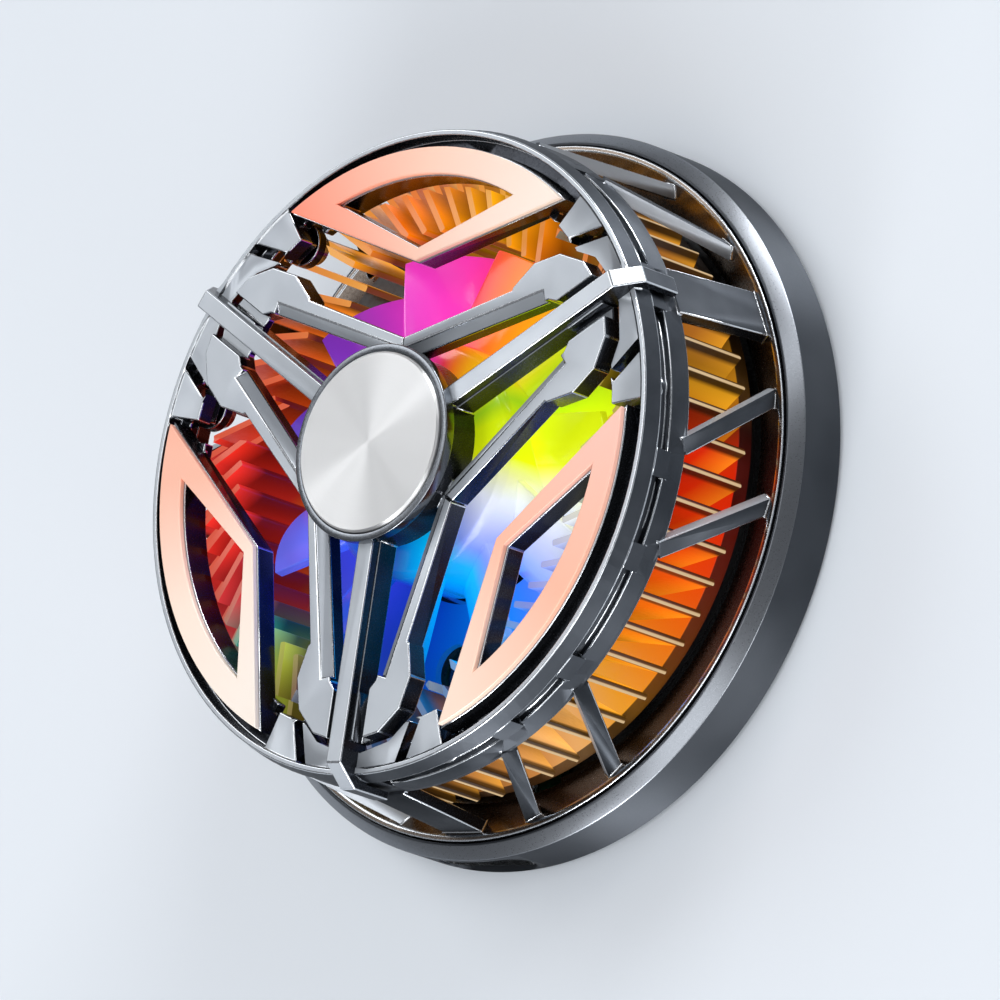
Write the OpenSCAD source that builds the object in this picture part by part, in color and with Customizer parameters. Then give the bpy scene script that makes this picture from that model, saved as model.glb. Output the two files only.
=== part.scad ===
// Round magnetic cooler for the back of a phone: a cold plate and a thermoelectric module in a
// magnetic base, a ring of swept cooling fins around a small fan, an open strut cage and a
// three-armed front grille. Millimetres, +Z out of the cooled face, z = 0 on the contact plane.

/* [Base] */
// Outer diameter of the base ring
base_d = 56.7; // [55:0.1:62]
// Thickness of the base's outer wall
base_wall = 1.15; // [1:0.05:1.6]
// Leg of the bevel round the top of the base
base_bevel = 0.95; // [0.6:0.05:1]
// Leg of the small bevel round the foot of the base
foot_bevel = 0.35; // [0.2:0.05:0.45]
// Thickness of the base's floor
floor_t = 1; // [0.9:0.05:1.3]
// Thickness of the soft grip ring let into the floor
grip_t = 0.4; // [0.3:0.05:0.5]
// Width of the soft grip ring
grip_w = 3.4; // [2:0.1:3.6]

/* [Magnets] */
// Radial width of the magnet segments
magnet_w = 3.5; // [2.5:0.1:4]
// Thickness of the magnet segments
magnet_t = 1.5; // [1:0.1:2]
// Number of magnet segments
magnet_count = 18; // [12:1:24]
// Thickness of the steel ring behind the magnets
yoke_t = 0.5; // [0.4:0.1:1]

/* [Power inlet] */
// Width of the socket shell
usb_w = 8.94; // [8.9:0.01:9]
// Height of the socket shell
usb_h = 3.16; // [3.1:0.01:3.26]
// Depth of the socket shell
usb_len = 6.2; // [5.6:0.1:6.3]
// Sheet thickness of the socket shell
usb_wall = 0.25; // [0.2:0.05:0.35]
// Height of the shell's underside above the contact plane
usb_floor = 0.6; // [0.5:0.05:0.7]
// Width of the small board round the socket
inlet_board_w = 13.4; // [12.4:0.1:14]
// Thickness of the circuit boards
board_t = 0.8; // [0.6:0.1:1]

/* [Cold side] */
// Thickness of the cold plate, flange included
cold_t = 1.6; // [1.4:0.05:2]
// Room between the thermoelectric module and the posts beside it
tec_gap = 1.3; // [0.8:0.1:2]
// Thickness of each ceramic face
ceramic_t = 0.8; // [0.6:0.1:1]
// Height of the semiconductor pellets
pellet_h = 1.8; // [1.2:0.1:2]
// Side of one pellet
pellet_side = 1.4; // [1:0.1:1.6]
// Pellets along each side of the module
pellet_rows = 8; // [6:1:10]
// Step from the control board's edge in to the clamp screws
clamp_inset = 2; // [1.9:0.05:2.2]
// Radius of the posts that take the clamp screws
post_r = 1.8; // [1.6:0.05:2]

/* [Heatsink] */
// Thickness of the heatsink's plate
sink_t = 1.5; // [1.3:0.1:2.2]
// Number of fins
fin_count = 60; // [40:1:64]
// Thickness of one fin
fin_t = 0.5; // [0.4:0.05:0.7]
// Height of the fins from the plate to the upper band
fin_h = 7.2; // [6.8:0.1:9]
// Radial reach of the fins
fin_reach = 6.8; // [5:0.1:7.2]
// Angle by which the fins lean away from the radius
fin_sweep = 37; // [20:1:42]

/* [Fan] */
// Gap between the blade tips and the fins
tip_gap = 0.6; // [0.5:0.05:1]
// Number of blades
blade_count = 11; // [7:1:11]
// Thickness of a blade
blade_t = 0.7; // [0.5:0.05:0.9]
// Width of a blade along its curved profile
blade_chord = 8.2; // [6.5:0.1:8.4]
// Radius of a blade's curved profile
blade_camber_r = 11; // [9:0.5:16]
// Angle of a blade's chord to the fan's plane
blade_pitch = 36; // [28:1:38]
// Share of the fan's radius that its hub takes
hub_share = 0.545; // [0.52:0.005:0.6]
// Wall of the fan's hub
hub_wall = 0.5; // [0.4:0.05:0.7]
// Diameter of the fan shaft
shaft_d = 2; // [1.8:0.1:2.4]
// Radial clearance of the shaft in its bush
shaft_clear = 0.03; // [0.02:0.01:0.06]
// Share of the hub's radius that the bearing bush takes
bush_share = 0.275; // [0.25:0.005:0.3]
// Share of the hub's radius that the bush's tube takes
tube_share = 0.373; // [0.35:0.005:0.4]
// Number of stator teeth
stator_teeth = 6; // [4:1:8]
// Height of the stator's stack
stator_h = 3; // [2.4:0.1:3.4]

/* [Cage] */
// Step from the base's edge in to the cage
cage_inset = 3.05; // [2.9:0.05:3.4]
// Height of the cage's upper band
band_h = 1.8; // [1.4:0.1:2.6]
// Height of the shadow slot above the band
slot_h = 1.3; // [1:0.1:1.8]
// Width of the slanted struts
strut_w = 1.3; // [1:0.05:1.6]
// Radial depth of the struts
strut_d = 1; // [0.8:0.05:1.1]
// Width of the upright struts under the arms
arm_strut_w = 4; // [3:0.1:4.6]
// Drop of the dish from its lip to its inner edge
dish_drop = 1.15; // [1:0.05:1.6]

/* [Front grille] */
// Height of the rim's sloping wall
rim_h = 1.5; // [1.3:0.05:2]
// Width of the groove between the rim and the trims
groove_w = 1; // [0.9:0.05:1.3]
// Thickness of the arms
arm_t = 1.8; // [1.5:0.1:2.2]
// Width of the raised middle prong
prong_w = 1.5; // [1.2:0.05:1.7]
// Width of the side prongs
side_prong_w = 1.7; // [1.4:0.05:1.9]
// Radius of the rounded shoulders at the end of an arm
head_r = 4.95; // [4.4:0.05:5]
// Height of the middle prong above the arms
ridge_rise = 0.8; // [0.5:0.1:1.2]
// Width of the channels that part the middle prong from the shoulders
channel_w = 0.9; // [0.6:0.05:1.1]
// Depth of those channels
channel_depth = 1.1; // [0.8:0.05:1.2]
// Width of the bevel along the slot side of a side prong
slot_bevel_w = 0.9; // [0.5:0.05:1]
// Reach of the hook past the rim
hook_reach = 0.7; // [0.5:0.1:1]
// Width of the slits beside an arm's seat
slit_w = 0.9; // [0.6:0.05:1.1]
// Depth of a trim from its arc to its point towards the hub
trim_depth = 9.1; // [8.4:0.1:9.8]
// Slope of the trim's two straight sides
trim_slope = 17.4; // [15:0.1:19]
// Thickness of the trims
trim_t = 0.5; // [0.4:0.05:0.8]
// Height of the walls that carry the trims
trim_wall_h = 1.8; // [1.5:0.1:1.9]
// Width of a trim at its point
trim_tip_w = 1.2; // [0.9:0.1:1.8]
// Slope of the window's two straight sides
window_slope = 22.5; // [21:0.1:26]

/* [Cap] */
// Diameter of the cap disc
cap_d = 13.96; // [12:0.02:14.4]
// Thickness of the cap disc
cap_t = 1.2; // [0.9:0.05:1.6]
// Radial width of the bezel round the cap
bezel_w = 0.62; // [0.5:0.02:0.9]
// Height of the bezel
bezel_h = 0.95; // [0.8:0.05:1.4]

/* [Hidden] */
$fn = 96;

// Small shared clearances: a close fit, a fit with air, and an overlap that fuses one piece's own parts
fit = 0.1;
air = 0.3;
fuse = 0.3;
cut = 1;
trim_angles = [90, 210, 330];
arm_angles = [30, 150, 270];
inlet_angle = 270;

// Radii, from the outside in
base_r = base_d / 2;
base_in_r = base_r - base_wall;
shoulder_w = 0.7;
shoulder_r = base_in_r - shoulder_w;
magnet_out_r = shoulder_r - 2 * fit;
magnet_in_r = magnet_out_r - magnet_w;
inlet_gap_deg = 2 * asin((inlet_board_w / 2 + air) / magnet_in_r);
cold_flange_r = magnet_in_r - 0.5;
cold_step = 0.9;
cold_r = cold_flange_r - cold_step;
foam_r = cold_flange_r - 1.3;
grip_out_r = magnet_out_r;
grip_in_r = grip_out_r - grip_w;
cage_r = base_r - cage_inset;
cage_wall_r = cage_r - 0.8;
fin_r = cage_r - 1;
sink_r = fin_r - 0.7;
dish_in_r = sink_r + air;
fin_in_r = fin_r - fin_reach;
fan_r = fin_in_r - tip_gap;
board_out_r = fin_in_r - 0.9;
clamp_r = board_out_r - clamp_inset;
tec_side = 2 * (clamp_r - post_r - tec_gap);

// Heights, from the contact plane up
usb_top = usb_floor + usb_h;
usb_mid_z = usb_floor + usb_h / 2;
usb_y = -sqrt(base_r * base_r - usb_w * usb_w / 4) + fit;
shoulder_z = floor_t + magnet_t + yoke_t + 2 * fit;
dish_under_z = max(shoulder_z, usb_top + fit);
dish_t = 0.5;
dish_z = dish_under_z + dish_t;
lip_z = dish_z + dish_drop;
lip_w = 0.4;
lip_rise = 0.25;
base_top_z = lip_z - lip_rise;
hot_z = cold_t + 2 * ceramic_t + pellet_h;
sink_z = hot_z + sink_t;
fin_z = sink_z + fin_h;
band_z = fin_z + air;
slot_z = band_z + band_h;
fin_top_z = slot_z - 0.5;
rim_z = slot_z + slot_h;
rim_top_z = rim_z + rim_h;
cage_top_z = slot_z + 0.45 * slot_h;
groove_z = rim_z + 0.2;
arm_z = rim_z + 0.6;
arm_top_z = arm_z + arm_t;
trim_z = arm_top_z - trim_t;
trim_wall_z = trim_z - trim_wall_h;
fin_high_z = trim_wall_z - 0.2;
ridge_z = arm_top_z + ridge_rise;
boss_top_z = ridge_z + fit;

// Fan and motor stack
shaft_r = shaft_d / 2;
bush_in_r = shaft_r + shaft_clear;
hub_r = hub_share * fan_r;
bush_out_r = bush_share * hub_r;
tube_in_r = bush_out_r;
tube_r = tube_share * hub_r;
yoke_out_r = hub_r - hub_wall;
yoke_wall = 0.05 * hub_r;
rotor_magnet_out_r = yoke_out_r - yoke_wall;
rotor_magnet_w = 0.1 * hub_r;
air_gap = 0.35;
stator_r = rotor_magnet_out_r - rotor_magnet_w - air_gap;
flange_t = 0.8;
flange_r = hub_r - 0.2;
led_h = 0.8;
led_z = sink_z + board_t;
diffuser_z = led_z + led_h;
diffuser_t = 0.6;
diffuser_top_z = diffuser_z + diffuser_t;
fan_bottom_z = diffuser_top_z + 0.5;
fan_top_z = cage_top_z - 0.3;
hub_top_t = 0.8;
rotor_top_z = fan_top_z - hub_top_t;
stator_z = fan_bottom_z + 0.9;
tube_top_z = rotor_top_z - 0.9;
clip_z = sink_z + 0.6;
clip_t = 0.4;
bush_z = clip_z + clip_t + 0.3;
blade_mid_z = (fan_bottom_z + fan_top_z) / 2 - 0.3;

// Screws: shank radius, head radius and head height of each kind
clamp_screw = [1, 1.9, 0.7];
motor_screw = [0.6, 1.1, 0.5];
grille_screw = [0.7, 1.2, 0.8];
motor_screw_r = flange_r - 2;
boss_r = 1.6;
boss_t = 1;
grille_screw_r = cage_wall_r - boss_r;
grille_screw_deg = 18.5;
screw_gap_deg = 6;
arm_gap_deg = grille_screw_deg + screw_gap_deg / 2;

// Front grille in plan
lip_slope = 0.35;
lip_top_w = 0.45;
rim_top_r = cage_r - lip_slope;
lip_in_r = rim_top_r - lip_top_w;
trim_arc_r = lip_in_r - groove_w;
ring_in_r = trim_arc_r - 0.1;
window_arc_r = trim_arc_r - 2.3;
trim_tip_r = trim_arc_r - trim_depth;
window_tip_r = trim_tip_r + trim_tip_w;
head_gap = 0.85;
head_offset = 0.9;
head_u = ring_in_r - head_gap - head_r;
cap_r = cap_d / 2;
bezel_r = cap_r + fit / 2 + bezel_w;
hub_boss_r = bezel_r - 0.4;
// Share of the circle that an arm takes: a key across the hairline between two arms fuses them
arm_half_deg = 59.7;
// Half width of an arm where its side prongs meet those of its neighbours, and at its shoulders
arm_root_u = hub_boss_r / 2;
arm_root_v = arm_root_u * tan(60) + 1.3;
arm_neck_u = head_u - 2.6;
arm_neck_v = head_r + 0.05;
slot_v = prong_w / 2 + fit;
slot_end_u = head_u + 1.2;
slot_end_step = 0.9;
slot_end_w = 1.5;
tooth_in_r = ring_in_r - 1.9;
seat_half_deg = 22;
seat_gap = 0.6;
screw_tooth_deg = [15.4, 21.6];
head_sides = 12;

function polar(r, a, z) = [r * cos(a), r * sin(a), z];

// Angles of the screws that hold the grille, two at each arm
grille_screw_angles = [for (a = arm_angles, s = [-1, 1]) a + s * grille_screw_deg];

// Ring between two radii and two heights
module tube(r_in, r_out, z0, z1) {
    translate([0, 0, z0]) difference() {
        cylinder(r = r_out, h = z1 - z0);
        translate([0, 0, -cut]) cylinder(r = r_in, h = z1 - z0 + 2 * cut);
    }
}

module disc(r, z0, z1) {
    translate([0, 0, z0]) cylinder(r = r, h = z1 - z0);
}

// Upright wedge between two angles, wide enough to trim any ring here
module wedge(a0, a1, z0, z1) {
    reach = 2 * base_r;
    mid = (a0 + a1) / 2;
    translate([0, 0, z0]) linear_extrude(z1 - z0) polygon([
        [0, 0],
        [reach * cos(a0), reach * sin(a0)],
        [reach * cos(mid), reach * sin(mid)],
        [reach * cos(a1), reach * sin(a1)]
    ]);
}

// Straight bar between two points: w lies along the lean, d across it
module bar(p0, p1, w, d) {
    v = p1 - p0;
    translate(p0) rotate([0, acos(v[2] / norm(v)), atan2(v[1], v[0])])
        translate([-w / 2, -d / 2, 0]) cube([w, d, norm(v)]);
}

// Round wire through a list of points
module wire(points, r) {
    for (i = [0 : len(points) - 2]) {
        v = points[i + 1] - points[i];
        translate(points[i]) rotate([0, acos(v[2] / norm(v)), atan2(v[1], v[0])])
            cylinder(r = r, h = norm(v), $fn = 32);
    }
    for (i = [1 : len(points) - 2]) translate(points[i]) sphere(r = r, $fn = 32);
}

// Screw with its head up: the shank hangs below z = 0
module screw(kind, length) {
    cylinder(r = kind[1], h = kind[2], $fn = 32);
    translate([0, 0, -length]) cylinder(r = kind[0], h = length + kind[2] / 2, $fn = 32);
}

// Bar with a stadium section, running along +Y from y0 to y1 about height z
module stadium_bar(w, h, y0, y1, z) {
    translate([0, y1, z]) rotate([90, 0, 0]) linear_extrude(y1 - y0) {
        square([w - h, h], center = true);
        for (s = [-1, 1]) translate([s * (w - h) / 2, 0]) circle(d = h);
    }
}

// Base: outer wall with bevel, floor, seat for the cage, groove for the grip and the inlet's mouth
module base_housing() {
    bore_r = cold_r + fit;
    color("dimgray") difference() {
        rotate_extrude() polygon([
            [bore_r, 0], [base_r - foot_bevel, 0], [base_r, foot_bevel],
            [base_r, base_top_z - base_bevel], [base_r - base_bevel, base_top_z],
            [base_in_r, base_top_z], [base_in_r, shoulder_z], [shoulder_r, shoulder_z],
            [shoulder_r, floor_t], [bore_r, floor_t]
        ]);
        tube(grip_in_r - fit, grip_out_r + fit, -cut, grip_t);
        stadium_bar(usb_w + 2 * fit, usb_h + 2 * fit, -base_r - cut, -bore_r + cut, usb_mid_z);
    }
}

module grip_ring() {
    color("darkslategray") tube(grip_in_r, grip_out_r, 0, grip_t);
}

// Cold plate: plug through the floor, flange on it, and four posts for the clamp screws
module cold_plate() {
    inlet_room = usb_w + 2 * air;
    color("silver") difference() {
        union() {
            disc(cold_r, 0, floor_t);
            disc(cold_flange_r, floor_t, cold_t);
            for (a = [0 : 90 : 270]) translate(polar(clamp_r, a, floor_t))
                cylinder(r = post_r, h = hot_z - floor_t);
        }
        for (a = [0 : 90 : 270]) translate(polar(clamp_r, a, floor_t))
            cylinder(r = clamp_screw[0] + fit / 2, h = hot_z);
        translate([-inlet_room / 2, -base_r, floor_t])
            cube([inlet_room, base_r - cold_r - fit, cold_t]);
        stadium_bar(inlet_room, usb_h + 2 * fit, -base_r, usb_y + usb_len + fit, usb_mid_z);
    }
}

module ring_magnets() {
    pitch = (360 - inlet_gap_deg) / magnet_count;
    gap_deg = 1;
    color("gray") for (i = [0 : magnet_count - 1])
        rotate(inlet_angle + inlet_gap_deg / 2 + i * pitch + gap_deg / 2)
            rotate_extrude(angle = pitch - gap_deg)
                translate([magnet_in_r, floor_t]) square([magnet_w, magnet_t]);
}

module magnet_yoke() {
    color("slategray") rotate(inlet_angle + inlet_gap_deg / 2)
        rotate_extrude(angle = 360 - inlet_gap_deg)
            translate([magnet_in_r, floor_t + magnet_t]) square([magnet_w, yoke_t]);
}

// Power inlet: folded shell, tongue on its back wall and a small board round it
module usb_shell() {
    color("silver") difference() {
        stadium_bar(usb_w, usb_h, usb_y, usb_y + usb_len, usb_mid_z);
        stadium_bar(usb_w - 2 * usb_wall, usb_h - 2 * usb_wall, usb_y - cut, usb_y + usb_len + cut,
            usb_mid_z);
    }
}

module usb_tongue() {
    back = 1.4;
    tongue_w = 6.7;
    tongue_h = 0.7;
    tongue_set_back = 0.8;
    skin = 2 * usb_wall + fit / 2;
    color("black") {
        stadium_bar(usb_w - skin, usb_h - skin, usb_y + usb_len - back, usb_y + usb_len, usb_mid_z);
        translate([-tongue_w / 2, usb_y + tongue_set_back, usb_mid_z - tongue_h / 2])
            cube([tongue_w, usb_len - tongue_set_back - back / 2, tongue_h]);
    }
}

inlet_board_y = -sqrt(pow(shoulder_r - air, 2) - pow(inlet_board_w / 2, 2));
inlet_tail = 2.2;
inlet_board_end = usb_y + usb_len + fit + inlet_tail;

module inlet_board() {
    notch_w = usb_w + 2 * fit;
    color("darkgreen") translate([0, 0, usb_mid_z - board_t / 2]) linear_extrude(board_t) difference() {
        translate([-inlet_board_w / 2, inlet_board_y])
            square([inlet_board_w, inlet_board_end - inlet_board_y]);
        translate([-notch_w / 2, inlet_board_y - cut])
            square([notch_w, usb_y + usb_len + fit - inlet_board_y + cut]);
    }
}

// Thermoelectric module: two ceramic faces with the pellets between them
module ceramic(z) {
    translate([-tec_side / 2, -tec_side / 2, z]) cube([tec_side, tec_side, ceramic_t]);
}

module tec_cold_ceramic() {
    color("white") ceramic(cold_t);
}

module tec_hot_ceramic() {
    color("white") ceramic(hot_z - ceramic_t);
}

module tec_pellets() {
    pitch = tec_side / pellet_rows;
    side = min(pellet_side, pitch - 2 * air);
    color("dimgray") for (i = [0 : pellet_rows - 1], j = [0 : pellet_rows - 1])
        translate([(i + 0.5) * pitch - (tec_side + side) / 2, (j + 0.5) * pitch - (tec_side + side) / 2,
            cold_t + ceramic_t]) cube([side, side, pellet_h]);
}

// Routes of the inner leads: two feed the module, two rise to the control board
wire_r = 0.45;
wire_z = usb_mid_z + board_t / 2 + wire_r;
wire_start_y = inlet_board_end - 1.2;
tec_lead_x = 3.4;
fan_lead_deg = 20;
fan_lead_r = board_out_r - 1;
fan_lead_x = fan_lead_r * sin(fan_lead_deg);
fan_lead_y = -fan_lead_r * cos(fan_lead_deg);
fan_lead_top = sink_z + board_t;

module lead_wires() {
    color("firebrick") for (s = [-1, 1]) {
        wire([[s * tec_lead_x, wire_start_y, wire_z], [s * tec_lead_x, -tec_side / 2, wire_z]], wire_r);
        wire([[s * fan_lead_x, wire_start_y, wire_z], [s * fan_lead_x, fan_lead_y, wire_z],
            [s * fan_lead_x, fan_lead_y, fan_lead_top]], wire_r);
    }
}

// Foam that fills the gap between the cold and hot plates round the module
module foam_gasket() {
    window = tec_side + 2 * air;
    slot_w = 2 * (wire_r + fit);
    inlet_w = inlet_board_w + 2 * air;
    color("lightgray") difference() {
        disc(foam_r, cold_t, hot_z);
        translate([-window / 2, -window / 2, 0]) cube([window, window, sink_z]);
        for (a = [0 : 90 : 270]) translate(polar(clamp_r, a, 0)) cylinder(r = post_r + fit, h = sink_z);
        translate([-inlet_w / 2, -base_r, 0]) cube([inlet_w, base_r + inlet_board_end + air, sink_z]);
        for (x = [-fan_lead_x, -tec_lead_x, tec_lead_x, fan_lead_x])
            translate([x - slot_w / 2, -base_r, cold_t - cut]) cube([slot_w, base_r, sink_z]);
    }
}

// Heatsink: plate with a ring of straight fins that lean over as they run outwards. They stand
// highest under the trims and are cut lower under the arms and the screws.
module fin() {
    lean_c = fin_in_r * cos(fin_sweep);
    run = sqrt(lean_c * lean_c + fin_r * fin_r - fin_in_r * fin_in_r) - lean_c;
    translate([fin_in_r, 0, sink_z - fuse]) rotate(fin_sweep)
        translate([0, -fin_t / 2, 0]) cube([run, fin_t, fin_high_z - sink_z + fuse]);
}

module heatsink() {
    color("orangered") difference() {
        union() {
            disc(sink_r, hot_z, sink_z);
            for (i = [0 : fin_count - 1]) rotate(i * 360 / fin_count) fin();
        }
        tube(window_arc_r - 0.3, base_r, fin_top_z, fin_high_z + cut);
        for (a = arm_angles) wedge(a - arm_gap_deg, a + arm_gap_deg, fin_top_z, fin_high_z + cut);
        for (a = grille_screw_angles) wedge(a - screw_gap_deg, a + screw_gap_deg, fin_z, fin_high_z + cut);
        for (a = [0 : 90 : 270]) translate(polar(clamp_r, a, hot_z - cut))
            cylinder(r = clamp_screw[0] + fit, h = sink_t + 2 * cut);
        for (a = arm_angles) translate(polar(motor_screw_r, a, hot_z + 0.2 * sink_t))
            cylinder(r = motor_screw[0] + fit / 2, h = sink_t);
        for (s = [-1, 1]) translate([s * fan_lead_x, fan_lead_y, hot_z - cut])
            cylinder(r = wire_r + fit, h = sink_t + 2 * cut);
    }
}

module clamp_screws() {
    color("silver") for (a = [0 : 90 : 270]) translate(polar(clamp_r, a, sink_z))
        screw(clamp_screw, sink_z - cold_t);
}

// Control board under the fan, with its chips, lamps and the diffuser that they light
module control_board() {
    head_room = clamp_screw[1] + air;
    color("darkgreen") difference() {
        tube(flange_r + air, board_out_r, sink_z, sink_z + board_t);
        for (a = [0 : 90 : 270]) translate(polar(clamp_r, a, sink_z - cut))
            cylinder(r = head_room, h = board_t + 2 * cut);
        for (s = [-1, 1]) translate([s * fan_lead_x, fan_lead_y, sink_z - cut])
            cylinder(r = wire_r + fit, h = board_t + 2 * cut);
    }
}

board_mid_r = (flange_r + air + board_out_r) / 2;
led_side = 2;
led_count = 8;

module rgb_leds() {
    color("white") for (i = [0 : led_count - 1]) rotate((i + 0.5) * 360 / led_count)
        translate([board_mid_r - led_side / 2, -led_side / 2, led_z]) cube([led_side, led_side, led_h]);
}

module board_chips() {
    chip = [3, 3, 0.7];
    capacitor = [1.6, 0.8, 0.6];
    driver_angle = 45;
    color("black") {
        for (a = [driver_angle, driver_angle + 180])
            rotate(a) translate([board_mid_r, 0, led_z] - [chip[0], chip[1], 0] / 2) cube(chip);
        for (a = [driver_angle + 78, driver_angle + 102, driver_angle + 258, driver_angle + 282])
            rotate(a) translate([board_mid_r, 0, led_z] - [capacitor[0], capacitor[1], 0] / 2)
                cube(capacitor);
    }
}

module light_diffuser() {
    head_room = clamp_screw[1] + fit;
    color("gold") difference() {
        tube(hub_r + air, fin_in_r - air, diffuser_z, diffuser_top_z);
        for (a = [0 : 90 : 270]) translate(polar(clamp_r, a, diffuser_z - cut))
            cylinder(r = head_room, h = diffuser_t + 2 * cut);
    }
}

// Motor: flange with the bearing tube, bush, wound stator, and the turning cup with its magnet
module motor_base() {
    color("dimgray") difference() {
        union() {
            disc(flange_r, sink_z, sink_z + flange_t);
            disc(tube_r, sink_z, tube_top_z);
        }
        disc(tube_in_r, sink_z + 0.3, tube_top_z + cut);
        for (a = arm_angles) translate(polar(motor_screw_r, a, sink_z - cut))
            cylinder(r = motor_screw[0] + fit / 2, h = flange_t + 2 * cut);
    }
}

module motor_screws() {
    color("silver") for (a = arm_angles) translate(polar(motor_screw_r, a, sink_z + flange_t))
        screw(motor_screw, flange_t + 0.6 * sink_t);
}

module bearing_bush() {
    color("peru") tube(bush_in_r, bush_out_r - fit / 5, bush_z, tube_top_z);
}

tooth_w = 0.16 * hub_r;
shoe_t = 0.08 * hub_r;
core_r = tube_r + 0.09 * hub_r;

module stator_core() {
    color("slategray") translate([0, 0, stator_z]) linear_extrude(stator_h) difference() {
        union() {
            circle(r = core_r);
            for (i = [0 : stator_teeth - 1]) rotate(i * 360 / stator_teeth) {
                translate([0, -tooth_w / 2]) square([stator_r - shoe_t / 2, tooth_w]);
                intersection() {
                    difference() {
                        circle(r = stator_r);
                        circle(r = stator_r - shoe_t);
                    }
                    translate([0, -1.4 * tooth_w]) square([2 * stator_r, 2.8 * tooth_w]);
                }
            }
        }
        circle(r = tube_r + fit / 5);
    }
}

module stator_coils() {
    coil_t = 0.055 * hub_r;
    hole_w = tooth_w + fit;
    hole_h = stator_h + fit;
    half_w = hole_w / 2 + coil_t;
    shoe_in_r = stator_r - shoe_t;
    in_x = core_r + fit;
    out_x = sqrt(shoe_in_r * shoe_in_r - half_w * half_w) - fit;
    color("sienna") for (i = [0 : stator_teeth - 1]) rotate(i * 360 / stator_teeth)
        translate([in_x, 0, stator_z + stator_h / 2]) difference() {
            translate([0, -half_w, -hole_h / 2 - coil_t])
                cube([out_x - in_x, 2 * half_w, hole_h + 2 * coil_t]);
            translate([-cut, -hole_w / 2, -hole_h / 2]) cube([out_x - in_x + 2 * cut, hole_w, hole_h]);
        }
}

clip_groove = 0.3;

module fan_shaft() {
    color("silver") difference() {
        disc(shaft_r, clip_z - 0.2, fan_top_z - 0.2);
        tube(shaft_r - clip_groove, shaft_r + cut, clip_z, clip_z + clip_t);
    }
}

module shaft_clip() {
    color("goldenrod") tube(shaft_r - clip_groove + fit / 10, bush_out_r - 2 * air, clip_z, clip_z + clip_t);
}

module rotor_yoke() {
    color("gray") difference() {
        disc(yoke_out_r - fit / 5, fan_bottom_z, rotor_top_z - fit / 5);
        disc(rotor_magnet_out_r, fan_bottom_z - cut, rotor_top_z - yoke_wall);
        disc(hub_boss_in_r, fan_bottom_z, rotor_top_z + cut);
    }
}

module rotor_magnet() {
    color("black") tube(rotor_magnet_out_r - rotor_magnet_w, rotor_magnet_out_r - fit / 5,
        fan_bottom_z + 0.4, rotor_top_z - yoke_wall - 0.4);
}

hub_boss_in_r = shaft_r + 1.1;

// Blade: a plate curved about a radial line, pitched and trimmed to the hub and the tip circle
module blade() {
    half_deg = blade_chord / blade_camber_r * 90 / PI;
    intersection() {
        tube(hub_r - hub_wall / 2, fan_r, fan_bottom_z + air, fan_top_z - air);
        translate([0, 0, blade_mid_z]) rotate([blade_pitch, 0, 0]) translate([0, 0, -blade_camber_r])
            rotate([0, 90, 0]) rotate(180 - half_deg) rotate_extrude(angle = 2 * half_deg)
                translate([blade_camber_r - blade_t / 2, 0]) square([blade_t, 2 * fan_r]);
    }
}

module impeller() {
    dome = 0.5;
    color("deepskyblue") difference() {
        union() {
            rotate_extrude() polygon([
                [0, rotor_top_z], [yoke_out_r, rotor_top_z], [yoke_out_r, fan_bottom_z],
                [hub_r, fan_bottom_z], [hub_r, fan_top_z - dome], [hub_r - dome, fan_top_z], [0, fan_top_z]
            ]);
            disc(hub_boss_in_r - fit, rotor_top_z - 0.6, rotor_top_z + fuse);
            for (i = [0 : blade_count - 1]) rotate(i * 360 / blade_count) blade();
        }
        disc(shaft_r + fit / 10, fan_bottom_z, fan_top_z - 0.2 + fit / 10);
    }
}

// Cage: dish with its lip, slanted struts up to a band, and posts across the shadow slot
strut_top_r = cage_r - 0.3;
strut_foot_r = base_in_r - 1.3;
strut_foot_z = dish_z + 0.4;
strut_pairs = [[13.5, 27], [31.5, 45.5]];
post_angles = [11, 27.5];
post_deg = 4.8;
arm_post_deg = 9;

module cage_strut(a, top, foot) {
    bar(polar(strut_foot_r, a + foot, strut_foot_z), polar(strut_top_r, a + top, band_z + fuse),
        strut_w, strut_d);
}

module cage_arm_strut(a) {
    bar(polar(strut_foot_r, a, strut_foot_z), polar(strut_top_r, a, band_z + fuse), strut_d, arm_strut_w);
}

module slot_post(a, width_deg) {
    intersection() {
        tube(cage_wall_r + fit / 2, cage_r - 0.1, slot_z - fuse, rim_z - fit / 2);
        wedge(a - width_deg / 2, a + width_deg / 2, slot_z - 2 * fuse, rim_z + cut);
    }
}

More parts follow.
